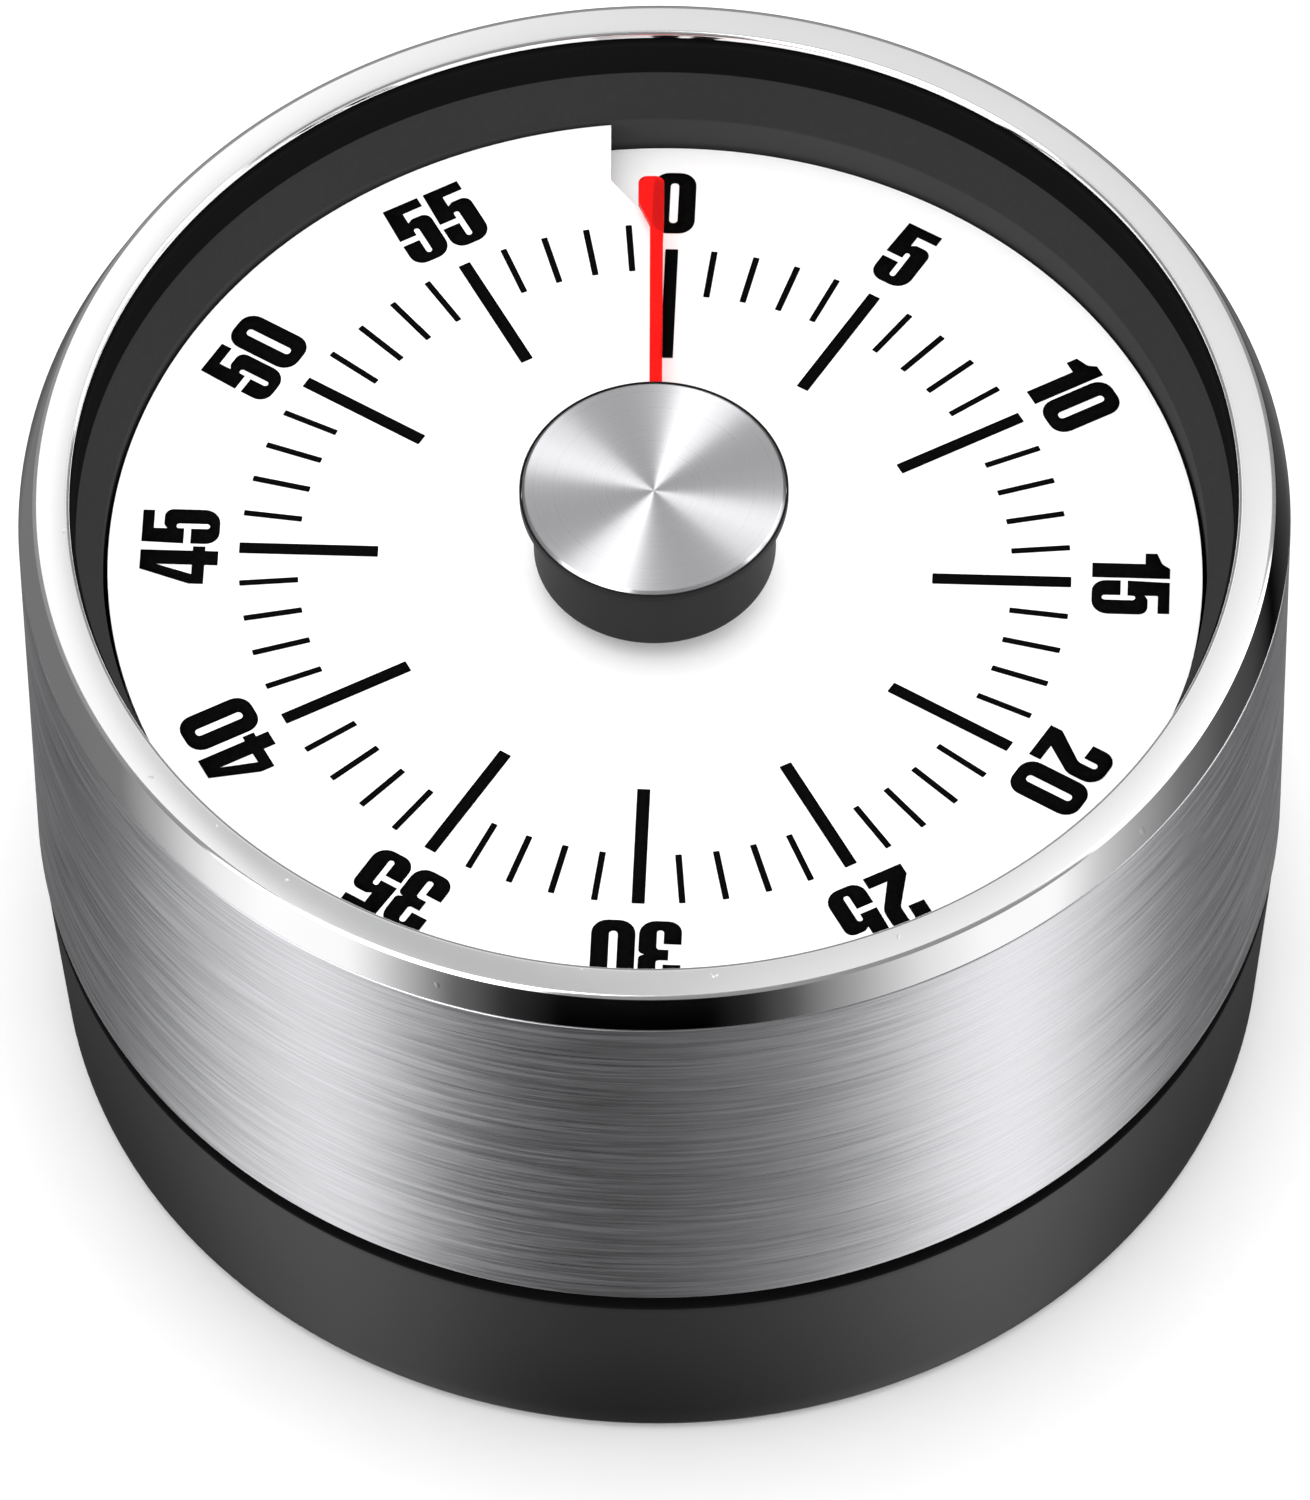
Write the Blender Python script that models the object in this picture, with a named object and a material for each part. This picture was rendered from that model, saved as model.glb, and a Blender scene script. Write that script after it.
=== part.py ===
"""Wind-up sixty-minute kitchen timer, built piece by piece as it comes apart on a bench.

Units in the constants are millimetres and degrees. The origin is the centre of the foot's
underside, +Z is up, and +Y points to the zero mark, where the pointer rests. Angles on the
dial run clockwise from +Y as seen from above.
"""
import math

import bmesh
import bpy

MM = 0.001

# ---- driving dimensions: case -------------------------------------------------------------
CASE_R = 39.0          # outside of the steel sleeve
CASE_H = 46.77         # plane of the polished rim above the table
SLEEVE_WALL = 0.7
CHAMFER_H = 2.07       # sloping band under the rim
CHAMFER_IN = 0.94
RIM_FACE = 3.2         # case outside to the rim's inner edge
RIM_SHEET = 0.5
BEZEL_SKIRT = 0.7
BEZEL_SKIRT_H = 2.1
BASE_H = 14.8          # top of the dark base
BASE_STEP = 0.15       # base top inside the sleeve line
BASE_TAPER = 0.97      # how much the base narrows to its foot
SHADOW_STEP = 1.0      # recess that shows as the dark line above the base
SHADOW_H = 0.9         # height of that line
BASE_WALL = 1.6
BASE_FLOOR = 2.4
FOOT_PROUD = 0.3
FOOT_R = 27.0
FOOT_W = 3.0
FOOT_GROOVE = 0.8      # depth of the groove that holds the foot ring
FOOT_EDGE = 0.6        # broken edge round the base's foot
BOSS_H = 2.6           # screw bosses above the base's floor
SEAT_H = 3.0           # case screw seats above the base's underside
CASE_SCREW_L = 10.0
SLEEVE_LIP = 1.4       # inward lip at the foot of the sleeve
MAGNET_R = 6.0
MAGNET_T = 1.4
MAGNET_CIRCLE_R = 16.0

# ---- driving dimensions: well, dial and disc ----------------------------------------------
WELL_STEP = 0.26       # rim edge to the well's upright band
WELL_BAND_H = 3.57
WELL_TAPER = 1.54
WELL_CONE_H = 2.8
WELL_WALL = 1.2
DIAL_DROP = 8.94       # rim plane to the low end of the dial
DIAL_RISE = 2.55       # climb of the dial in one turn
DIAL_T = 0.5
DIAL_HOLE_R = 5.0
TONGUE_DEG = 12.0      # low end carried on under the raised end
RAMP_W = 1.4
DISC_R = 25.6
DISC_T = 0.3
DISC_IN_R = 3.8
DISC_END_DEG = 2.0
NOTCH_DEG = 354.9      # where the notch in the raised end begins
NOTCH_SHARE = 4.0 / 9.0    # of the way from the disc's edge to the dial's edge
STEP_DEG = (353.0, 355.0)  # the ramp's step under the raised end
SHEET_STEPS = 71       # sections in one turn of the dial and its ramp
SLIDE_PLAY = 0.15      # air between disc and dial on each side

# ---- driving dimensions: knob -------------------------------------------------------------
CAP_R = 8.25
CAP_T = 0.8
SKIRT_R = 7.45
SKIRT_WALL = 0.95
SKIRT_H = 4.87
STEM_R = 3.0
STEM_FLAT = 2.4
POINTER_R = 28.7
POINTER_T = 0.4
POINTER_W = 0.8
PADDLE_W = 1.6
PADDLE_L = 3.0
PADDLE_SHIFT = 0.35
PADDLE_SLANT = 0.95
PADDLE_CORNER = 0.5

# ---- driving dimensions: movement ---------------------------------------------------------
FRAME_WALL = 1.4
DECK_DROP = 4.8        # low end of the dial to the deck
DECK_T = 1.5
POST_R = 2.6
PLATE_R = 30.3
PLATE_T = 1.2
PLATE_GAP = 17.0       # between the two plates
PILLAR_R = 1.7
PILLAR_CIRCLE_R = 28.4
PILLAR_DEG = (105.0, 223.5, 345.0)
ARBOR_R = 0.9
PIVOT_R = 0.6
MAIN_ARBOR_R = 1.5
MAIN_BODY_R = 2.0
WHEEL_T = 1.0
ESCAPE_T = 0.8
PINION_T = 2.2
PINION_TEETH = 8
MAIN_TEETH, MAIN_MODULE = 60, 0.5
SECOND_TEETH, SECOND_MODULE = 60, 0.8 * MAIN_MODULE
THIRD_TEETH, THIRD_MODULE = 54, 0.7 * MAIN_MODULE
ESCAPE_TEETH, ESCAPE_R = 20, 5.0
PALLET_REACH = 7.0     # escape arbor to pallet arbor
BALANCE_REACH = 9.3    # pallet arbor to balance staff
BALANCE_R = 5.5
RATCHET_TEETH, RATCHET_R = 16, 6.0
CLICK_R, CLICK_DEG = 9.0, 60.0
CLICK_TIP_DEG = 20.0
CAM_R, CAM_NOTCH_R, CAM_HALF_DEG = 6.5, 5.2, 9.0
NOTCH_AT_DEG = 71.0    # where the release lever meets the cam
BARREL_R = 11.0
BARREL_H = 5.4
BARREL_WALL = 0.6
BELL_R = 24.0
BELL_H = 6.3
BELL_T = 0.8
HAMMER_T = 0.8
HAMMER_DROP = 3.0      # hammer arm below the back plate
HEAD_R, HEAD_T = 1.6, 1.3
HEAD_INSET = 3.2       # hammer head's middle inside the bell's wall
HEAD_DEG = 72.0
SCREW_R = 0.9
SCREW_HEAD_R = 1.9
SCREW_HEAD_T = 1.1

# ---- clearances and facet counts ----------------------------------------------------------
GAP = 0.3              # between faces that rest on or stand in each other
RUN = 0.15             # radial play of a shaft in its hole
BIG, MID, SMALL, TINY = 56, 32, 14, 8

# ---- radii that follow --------------------------------------------------------------------
SLEEVE_IN = CASE_R - SLEEVE_WALL
BEZEL_OUT = SLEEVE_IN - GAP
BEZEL_IN = BEZEL_OUT - BEZEL_SKIRT
RIM_IN = CASE_R - RIM_FACE
WELL_TOP_R = RIM_IN - WELL_STEP
WELL_R = WELL_TOP_R - WELL_TAPER
WELL_OUT = BEZEL_IN - GAP
DIAL_R = WELL_R - GAP
FRAME_OUT = SLEEVE_IN - GAP
FRAME_IN = FRAME_OUT - FRAME_WALL
POST_CIRCLE_R = FRAME_IN - POST_R - 0.8
BASE_TOP_R = CASE_R - BASE_STEP
SPIGOT_R = CASE_R - SHADOW_STEP
BASE_IN = SPIGOT_R - BASE_WALL
MAIN_TIP_R = (MAIN_TEETH / 2 + 1) * MAIN_MODULE    # over the teeth of the main wheel
RAMP_IN = DIAL_R - RAMP_W

# ---- heights that follow ------------------------------------------------------------------
FLOOR_TOP = FOOT_PROUD + BASE_FLOOR
BOSS_TOP = FLOOR_TOP + BOSS_H
SCREW_SEAT = FOOT_PROUD + SEAT_H
SLEEVE_BOTTOM = BASE_H + SHADOW_H
SLEEVE_TOP = CASE_H - CHAMFER_H - GAP
FRAME_BOTTOM = SLEEVE_BOTTOM + SLEEVE_WALL + GAP
BEZEL_BOTTOM = SLEEVE_TOP - BEZEL_SKIRT_H
FRAME_TOP = BEZEL_BOTTOM - GAP
WELL_TOP = CASE_H - RIM_SHEET - GAP
DIAL_LOW = CASE_H - DIAL_DROP                      # top face of the dial just past zero
DISC_OFFSET = (DIAL_T + DISC_T) / 2 + SLIDE_PLAY   # mid dial to mid disc
DISC_CLIMB = 2 * DISC_OFFSET                       # disc travel in one turn of the knob
DISC_LOW = DIAL_LOW - DIAL_T / 2 - DISC_OFFSET     # middle of the disc just past zero
DISC_HIGHEST = DISC_LOW + DISC_T / 2 + DIAL_RISE + DISC_CLIMB
POINTER_Z = DISC_HIGHEST + SLIDE_PLAY
SKIRT_BOTTOM = DISC_HIGHEST + GAP
SKIRT_TOP = SKIRT_BOTTOM + SKIRT_H
CAP_Z = SKIRT_TOP + GAP
DECK_TOP = DIAL_LOW - DECK_DROP
DECK_BOTTOM = DECK_TOP - DECK_T
FRONT_TOP = DECK_BOTTOM - GAP
FRONT_BOTTOM = FRONT_TOP - PLATE_T
BACK_TOP = FRONT_BOTTOM - PLATE_GAP
BACK_BOTTOM = BACK_TOP - PLATE_T
BELL_TOP = BACK_BOTTOM - 3 * GAP
BELL_BOTTOM = BELL_TOP - BELL_H

# levels inside the movement, counted up from the back plate
BARREL_Z = BACK_TOP + GAP
ESCAPE_Z = BACK_TOP + 4.0
THIRD_PINION_Z = BACK_TOP + 6.4
SECOND_WHEEL_Z = BACK_TOP + 7.0
BALANCE_Z = BACK_TOP + 7.4
ESCAPE_PINION_Z = BACK_TOP + 8.4
THIRD_WHEEL_Z = BACK_TOP + 9.0
RATCHET_Z = BACK_TOP + 11.0
SECOND_PINION_Z = BACK_TOP + 12.4
MAIN_WHEEL_Z = BACK_TOP + 13.0
CAM_Z = BACK_TOP + 15.0
ARM_Z = BACK_BOTTOM - HAMMER_DROP


def polar(radius, degrees):
    """A plan point from a radius and an anticlockwise angle from +X."""
    turn = math.radians(degrees)
    return (radius * math.cos(turn), radius * math.sin(turn))


def dial_point(radius, degrees):
    """A plan point from a radius and a clockwise dial angle from +Y."""
    return polar(radius, 90.0 - degrees)


def third_corner(start, reach, radius, way):
    """The pivot at a given radius from the middle and a given reach from another pivot."""
    from_middle = math.hypot(*start)
    cosine = (from_middle ** 2 + radius ** 2 - reach ** 2) / (2 * from_middle * radius)
    turn = math.atan2(start[1], start[0]) + way * math.acos(cosine)
    return (radius * math.cos(turn), radius * math.sin(turn))


def bearing(start, end):
    """The angle in radians from one plan point to another."""
    return math.atan2(end[1] - start[1], end[0] - start[0])


# ---- pivots of the train ------------------------------------------------------------------
MAIN_REACH = (MAIN_TEETH + PINION_TEETH) * MAIN_MODULE / 2
SECOND_REACH = (SECOND_TEETH + PINION_TEETH) * SECOND_MODULE / 2
THIRD_REACH = (THIRD_TEETH + PINION_TEETH) * THIRD_MODULE / 2
MIDDLE = (0.0, 0.0)
SECOND_AT = polar(MAIN_REACH, 200.0)
THIRD_AT = third_corner(SECOND_AT, SECOND_REACH, MAIN_TIP_R + 3.5, 1)
ESCAPE_AT = third_corner(THIRD_AT, THIRD_REACH, MAIN_TIP_R + 5.5, 1)
PALLET_AT = third_corner(ESCAPE_AT, PALLET_REACH, MAIN_TIP_R + 5.5, 1)
BALANCE_AT = third_corner(PALLET_AT, BALANCE_REACH, MAIN_TIP_R + 4.7, 1)
HAMMER_AT = polar(MAIN_TIP_R + 2.4, 32.0)
RELEASE_AT = polar(MAIN_TIP_R + 3.0, NOTCH_AT_DEG)
CLICK_AT = polar(CLICK_R, CLICK_DEG)
HEAD_AT = polar(BELL_R - BELL_T - HEAD_INSET, HEAD_DEG)
POST_DEG = (60.0, 180.0, 300.0)

FINISHES = {
    "brushed_steel": ((0.42, 0.42, 0.44), 0.35, 1.0),
    "polished_steel": ((0.75, 0.75, 0.76), 0.12, 1.0),
    "black_plastic": ((0.03, 0.03, 0.03), 0.5, 0.0),
    "grey_plastic": ((0.045, 0.045, 0.047), 0.45, 0.0),
    "white_dial": ((0.9, 0.9, 0.9), 0.5, 0.0),
    "red_plastic": ((0.8, 0.01, 0.01), 0.3, 0.0),
    "rubber": ((0.02, 0.02, 0.02), 0.8, 0.0),
    "magnet": ((0.35, 0.35, 0.36), 0.3, 1.0),
    "brass": ((0.6, 0.42, 0.15), 0.3, 1.0),
    "plated_steel": ((0.5, 0.5, 0.52), 0.3, 1.0),
    "spring_steel": ((0.2, 0.22, 0.28), 0.3, 1.0),
    "nylon": ((0.75, 0.73, 0.66), 0.5, 0.0),
}


# ---- making tools -------------------------------------------------------------------------
def clear_scene():
    for thing in list(bpy.data.objects):
        bpy.data.objects.remove(thing, do_unlink=True)


def finish_of(name):
    """One Principled material for each finish, made when it is first asked for."""
    if name in bpy.data.materials:
        return bpy.data.materials[name]
    colour, roughness, metallic = FINISHES[name]
    material = bpy.data.materials.new(name)
    material.use_nodes = True
    shader = material.node_tree.nodes["Principled BSDF"]
    shader.inputs["Base Color"].default_value = (*colour, 1.0)
    shader.inputs["Roughness"].default_value = roughness
    shader.inputs["Metallic"].default_value = metallic
    return material


def pivot(name, at):
    """An empty on a joint's axis, which carries the pieces that turn or slide with it."""
    empty = bpy.data.objects.new(name, None)
    bpy.context.collection.objects.link(empty)
    empty.location = (at[0] * MM, at[1] * MM, 0.0)
    return empty


def place(name, mesh_data, finish, carrier):
    """Turn a finished bmesh, in millimetres, into a named object under its carrier."""
    bmesh.ops.remove_doubles(mesh_data, verts=mesh_data.verts, dist=1e-4)
    bmesh.ops.recalc_face_normals(mesh_data, faces=mesh_data.faces)
    bmesh.ops.scale(mesh_data, vec=(MM, MM, MM), verts=mesh_data.verts)
    mesh = bpy.data.meshes.new(name)
    mesh_data.to_mesh(mesh)
    mesh_data.free()
    mesh.shade_smooth()
    mesh.set_sharp_from_angle(angle=math.radians(35.0))
    piece = bpy.data.objects.new(name, mesh)
    bpy.context.collection.objects.link(piece)
    mesh.materials.append(finish_of(finish))
    piece.parent = carrier
    return piece


def turned(name, profile, finish, segments=MID, carrier=None, at=MIDDLE):
    """A lathe piece: a closed outline of (radius, height) points spun about the Z axis."""
    work = bmesh.new()
    rim = [work.verts.new((radius, 0.0, height)) for radius, height in profile]
    edges = [work.edges.new((rim[i - 1], rim[i])) for i in range(len(rim))
             if profile[i - 1][0] > 0.0 or profile[i][0] > 0.0]
    bmesh.ops.spin(work, geom=edges, cent=(0, 0, 0), axis=(0, 0, 1),
                   angle=2 * math.pi, steps=segments, use_merge=True)
    bmesh.ops.translate(work, vec=(at[0], at[1], 0.0), verts=work.verts)
    return place(name, work, finish, carrier)


def slab(name, loops, low, high, finish, carrier=None, at=MIDDLE):
    """A flat piece: an outline and any holes, filled and extruded from low to high."""
    work = bmesh.new()
    edges = []
    for loop in loops:
        verts = [work.verts.new((x + at[0], y + at[1], low)) for x, y in loop]
        edges += [work.edges.new((verts[i - 1], verts[i])) for i in range(len(verts))]
    bmesh.ops.triangle_fill(work, edges=edges, use_beauty=True, use_dissolve=False)
    raised = bmesh.ops.extrude_face_region(work, geom=work.faces[:])
    top = [part for part in raised["geom"] if isinstance(part, bmesh.types.BMVert)]
    bmesh.ops.translate(work, vec=(0, 0, high - low), verts=top)
    return place(name, work, finish, carrier)


def swept(name, stations, finish, carrier=None, closed=False):
    """A four-sided section carried through its stations, each a list of four points."""
    work = bmesh.new()
    rows = [[work.verts.new(point) for point in station] for station in stations]
    last = len(rows) if closed else len(rows) - 1
    for i in range(last):
        here, beyond = rows[i], rows[(i + 1) % len(rows)]
        for k in range(4):
            work.faces.new((here[k], here[k - 1], beyond[k - 1], beyond[k]))
    if not closed:
        work.faces.new(rows[0])
        work.faces.new(rows[-1])
    return place(name, work, finish, carrier)


def round_stations(angles, inner, outer, bottom, top):
    """Stations about the middle from four rules, each a function of the dial angle."""
    stations = []
    for angle in angles:
        near, far = dial_point(inner(angle), angle), dial_point(outer(angle), angle)
        stations.append([(*near, bottom(angle)), (*far, bottom(angle)),
                         (*far, top(angle)), (*near, top(angle))])
    return stations


def circle(radius, count, centre=MIDDLE, start=0.0):
    return [(centre[0] + radius * math.cos(start + 2 * math.pi * i / count),
             centre[1] + radius * math.sin(start + 2 * math.pi * i / count))
            for i in range(count)]


def rotated(points, turn):
    return [(x * math.cos(turn) - y * math.sin(turn), x * math.sin(turn) + y * math.cos(turn))
            for x, y in points]


def toothed(teeth, module, shape, start):
    """A gear outline: each tooth is a run of (share of the pitch, height in modules)."""
    pitch_r = teeth * module / 2
    outline = []
    for tooth in range(teeth):
        for share, height in shape:
            turn = start + 2 * math.pi * (tooth + share) / teeth
            radius = pitch_r + height * module
            outline.append((radius * math.cos(turn), radius * math.sin(turn)))
    return outline


WHEEL_TOOTH = ((-0.27, -1.15), (-0.08, 1.0), (0.08, 1.0), (0.27, -1.15))
PINION_TOOTH = ((-0.16, -1.35), (-0.20, 0.0), (-0.06, 0.7), (0.06, 0.7), (0.20, 0.0),
                (0.16, -1.35))


def windows(inner_r, outer_r, count, rib):
    """Openings between a wheel's spokes, each a ring sector with straight sides."""
    loops = []
    for spoke in range(count):
        loop = []
        for radius, ends in ((outer_r, (1, -1)), (inner_r, (-1, 1))):
            half = math.pi / count - rib / radius
            middle = 2 * math.pi * (spoke + 0.5) / count
            for step in range(4):
                share = ends[0] + (ends[1] - ends[0]) * step / 3
                loop.append((radius * math.cos(middle + half * share),
                             radius * math.sin(middle + half * share)))
        loops.append(loop)
    return loops


def cutter(piece):
    piece.hide_render = True
    piece.display_type = "WIRE"
    return piece


def gathered(name, pieces):
    """One helper from several solids that stand apart from each other."""
    work = bmesh.new()
    for piece in pieces:
        work.from_mesh(piece.data)
        bpy.data.objects.remove(piece, do_unlink=True)
    mesh = bpy.data.meshes.new(name)
    work.to_mesh(mesh)
    work.free()
    helper = bpy.data.objects.new(name, mesh)
    bpy.context.collection.objects.link(helper)
    return helper


def joined(piece, other, operation):
    """Unite a piece with a helper solid, or cut the helper out of it."""
    modifier = piece.modifiers.new(other.name, "BOOLEAN")
    modifier.operation = operation
    modifier.solver = "EXACT"
    modifier.object = cutter(other)
    return piece


def rod(name, radius, low, high, finish="plated_steel", segments=TINY, carrier=None, at=MIDDLE):
    return turned(name, [(0.0, low), (radius, low), (radius, high), (0.0, high)],
                  finish, segments, carrier, at)


def arbor(name, finish, carrier, low=None, wide=ARBOR_R):
    """A shaft between the plates, thinner where it runs in their holes."""
    foot = BACK_BOTTOM if low is None else low
    return turned(name, [(0.0, foot), (PIVOT_R, foot), (PIVOT_R, BACK_TOP + GAP),
                         (wide, BACK_TOP + GAP), (wide, FRONT_BOTTOM - GAP),
                         (PIVOT_R, FRONT_BOTTOM - GAP), (PIVOT_R, FRONT_TOP), (0.0, FRONT_TOP)],
                  finish, TINY, carrier)


def screw(name, at, seat, tip, finish="plated_steel"):
    """A screw whose head bears on a seat; its shank runs from there to the tip."""
    way = 1.0 if tip > seat else -1.0
    head = seat - way * GAP
    face = head - way * SCREW_HEAD_T
    piece = turned(name, [(0.0, tip), (SCREW_R - 0.3, tip), (SCREW_R, tip - way * 0.5),
                          (SCREW_R, head), (SCREW_HEAD_R, head),
                          (SCREW_HEAD_R, face + way * 0.3), (SCREW_HEAD_R - 0.3, face),
                          (0.0, face)], finish, TINY, None, at)
    slot = slab(name + "_slot", [[(-2.2, -0.3), (2.2, -0.3), (2.2, 0.3), (-2.2, 0.3)]],
                min(face, face + way * 0.5) - (0.2 if way > 0 else 0.0),
                max(face, face + way * 0.5) + (0.0 if way > 0 else 0.2), finish, None, at)
    return joined(piece, slot, "DIFFERENCE")


# ---- case ---------------------------------------------------------------------------------
def base_shell():
    foot_r = BASE_TOP_R - BASE_TAPER
    groove_in, groove_out = FOOT_R - FOOT_W / 2 - GAP, FOOT_R + FOOT_W / 2 + GAP
    groove_top = FOOT_PROUD + FOOT_GROOVE
    base = turned("base_shell", [
        (0.0, FOOT_PROUD), (groove_in, FOOT_PROUD), (groove_in, groove_top),
        (groove_out, groove_top), (groove_out, FOOT_PROUD),
        (foot_r - FOOT_EDGE, FOOT_PROUD), (foot_r, FOOT_PROUD + FOOT_EDGE), (BASE_TOP_R, BASE_H),
        (SPIGOT_R, BASE_H), (SPIGOT_R, SLEEVE_BOTTOM - GAP), (BASE_IN, SLEEVE_BOTTOM - GAP),
        (BASE_IN, FLOOR_TOP), (0.0, FLOOR_TOP)], "grey_plastic", BIG)
    head_room = SCREW_HEAD_R + GAP
    bosses, cuts = [], []
    for i, angle in enumerate(POST_DEG):
        at = polar(POST_CIRCLE_R, angle)
        bosses.append(rod(f"base_boss_{i}", POST_R, FLOOR_TOP - 1.0, BOSS_TOP,
                          "grey_plastic", SMALL, None, at))
        cuts.append(turned(f"base_bore_{i}", [
            (0.0, FOOT_PROUD - 1.0), (head_room, FOOT_PROUD - 1.0), (head_room, SCREW_SEAT),
            (SCREW_R + GAP, SCREW_SEAT), (SCREW_R + GAP, BOSS_TOP + 1.0),
            (0.0, BOSS_TOP + 1.0)],
            "grey_plastic", TINY, None, at))
        cuts.append(rod(f"magnet_pocket_{i}", MAGNET_R + GAP, FOOT_PROUD - 1.0,
                        FOOT_PROUD + MAGNET_T + 2 * GAP, "grey_plastic", SMALL, None,
                        polar(MAGNET_CIRCLE_R, angle)))
    for i in range(-2, 3):
        half, x = 4.0 - abs(i) * 0.8, i * 2.2
        cuts.append(slab(f"sound_slit_{i}", [[(x - 0.5, -half), (x + 0.5, -half),
                                              (x + 0.5, half), (x - 0.5, half)]],
                         FOOT_PROUD - 1.0, FLOOR_TOP + 1.0, "grey_plastic"))
    joined(base, gathered("base_bosses", bosses), "UNION")
    joined(base, gathered("base_cuts", cuts), "DIFFERENCE")


def foot_ring():
    inner, outer = FOOT_R - FOOT_W / 2, FOOT_R + FOOT_W / 2
    top = FOOT_PROUD + FOOT_GROOVE - GAP
    turned("foot_ring", [(inner, 0.0), (outer, 0.0), (outer, top), (inner, top)],
           "rubber", BIG)


def magnets_and_case_screws():
    for i, angle in enumerate(POST_DEG):
        rod(f"magnet_{i + 1}", MAGNET_R, FOOT_PROUD + GAP, FOOT_PROUD + GAP + MAGNET_T,
            "magnet", SMALL, None, polar(MAGNET_CIRCLE_R, angle))
        screw(f"case_screw_{i + 1}", polar(POST_CIRCLE_R, angle), SCREW_SEAT,
              SCREW_SEAT + CASE_SCREW_L)


def steel_sleeve():
    lip_in = SLEEVE_IN - SLEEVE_LIP
    turned("steel_sleeve", [
        (lip_in, SLEEVE_BOTTOM), (CASE_R, SLEEVE_BOTTOM), (CASE_R, SLEEVE_TOP),
        (SLEEVE_IN, SLEEVE_TOP), (SLEEVE_IN, SLEEVE_BOTTOM + SLEEVE_WALL),
        (lip_in, SLEEVE_BOTTOM + SLEEVE_WALL)], "brushed_steel", BIG)


def bezel_ring():
    chamfer_z = CASE_H - CHAMFER_H
    turned("bezel_ring", [
        (RIM_IN, CASE_H - RIM_SHEET), (BEZEL_IN, CASE_H - RIM_SHEET),
        (BEZEL_IN, BEZEL_BOTTOM), (BEZEL_OUT, BEZEL_BOTTOM), (BEZEL_OUT, chamfer_z),
        (CASE_R, chamfer_z), (CASE_R - CHAMFER_IN, CASE_H), (RIM_IN, CASE_H)],
        "polished_steel", BIG)


def inner_frame():
    """The moulded frame: a wall inside the sleeve, a deck, and three screw posts."""
    deck_hole = STEM_R + 2.0
    frame = turned("inner_frame", [
        (deck_hole, DECK_BOTTOM), (FRAME_IN, DECK_BOTTOM), (FRAME_IN, FRAME_BOTTOM),
        (FRAME_OUT, FRAME_BOTTOM), (FRAME_OUT, FRAME_TOP), (FRAME_IN, FRAME_TOP),
        (FRAME_IN, DECK_TOP), (deck_hole, DECK_TOP)], "black_plastic", BIG)
    post_low = BOSS_TOP + GAP
    posts, bores = [], []
    for i, angle in enumerate(POST_DEG):
        at = polar(POST_CIRCLE_R, angle)
        posts.append(rod(f"frame_post_{i}", POST_R, post_low, DECK_BOTTOM + 0.5,
                         "black_plastic", TINY, None, at))
        bores.append(rod(f"post_bore_{i}", SCREW_R + GAP, post_low - 1.0,
                         post_low + CASE_SCREW_L,
                         "black_plastic", TINY, None, at))
    for i, angle in enumerate(PILLAR_DEG):
        bores.append(rod(f"deck_hole_{i}", SCREW_R + GAP, DECK_BOTTOM - 1.0, DECK_TOP + 1.0,
                         "black_plastic", TINY, None, polar(PILLAR_CIRCLE_R, angle)))
    joined(frame, gathered("frame_posts", posts), "UNION")
    joined(frame, gathered("frame_bores", bores), "DIFFERENCE")


def well_ring():
    band_z = WELL_TOP + GAP + RIM_SHEET - WELL_BAND_H
    cone_z = band_z - WELL_CONE_H
    foot_z = DECK_TOP + GAP
    seat_z = FRAME_TOP + GAP
    turned("well_ring", [
        (WELL_R, foot_z), (WELL_R + WELL_WALL, foot_z), (WELL_R + WELL_WALL, seat_z - 1.6),
        (FRAME_IN - GAP - 0.2, seat_z), (WELL_OUT, seat_z), (WELL_OUT, WELL_TOP),
        (WELL_TOP_R, WELL_TOP), (WELL_TOP_R, band_z), (WELL_R, cone_z)],
        "black_plastic", BIG)


# ---- dial, disc, pointer and knob ---------------------------------------------------------
def dial_top(angle):
    return DIAL_LOW + DIAL_RISE * angle / 360.0


def dial_ramp():
    """A moulded ring under the dial's edge, as steep as the dial, with a step at zero."""
    step_from, step_to = STEP_DEG

    def top(angle):
        risen = angle if angle <= step_from else angle - 360.0
        return dial_top(risen) - DIAL_T - GAP

    angles = [step_from * i / SHEET_STEPS for i in range(SHEET_STEPS + 1)] + [step_to]
    swept("dial_ramp", round_stations(
        angles, lambda a: RAMP_IN, lambda a: DIAL_R, lambda a: DECK_TOP + GAP, top),
        "black_plastic", closed=True)


def dial():
    """One turn of a helical sheet. Its raised end has a notch outside the disc's radius,
    and its low end runs on as a tongue under the raised end, clear of the ramp's step."""
    tongue_deg = STEP_DEG[1] + 0.6 - 360.0
    slit_r = DISC_R + 0.2
    notch_r = DISC_R + NOTCH_SHARE * (DIAL_R - DISC_R)
    tongue_r = RAMP_IN - GAP - 0.1

    def outer(angle):
        if angle < tongue_deg:
            return tongue_r
        if angle <= NOTCH_DEG:
            return DIAL_R
        share = (angle - NOTCH_DEG) / (360.0 - NOTCH_DEG)
        return notch_r + (slit_r - notch_r) * share

    angles = [-TONGUE_DEG, -8.0, tongue_deg - 0.1, tongue_deg]
    angles += [NOTCH_DEG * i / SHEET_STEPS for i in range(SHEET_STEPS + 1)]
    angles += [NOTCH_DEG + 0.1, 357.5, 360.0]
    swept("dial", round_stations(angles, lambda a: DIAL_HOLE_R, outer,
                                 lambda a: dial_top(a) - DIAL_T, dial_top), "white_dial")


def disc_angles(count):
    span = 360.0 - 2 * DISC_END_DEG
    return [DISC_END_DEG + span * i / count for i in range(count + 1)]


def disc_middle(angle):
    return DISC_LOW + DIAL_RISE * angle / 360.0


def countdown_disc(carrier):
    swept("countdown_disc", round_stations(
        disc_angles(60), lambda a: DISC_IN_R, lambda a: DISC_R,
        lambda a: disc_middle(a) - DISC_T / 2, lambda a: disc_middle(a) + DISC_T / 2),
        "red_plastic", carrier)


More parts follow.
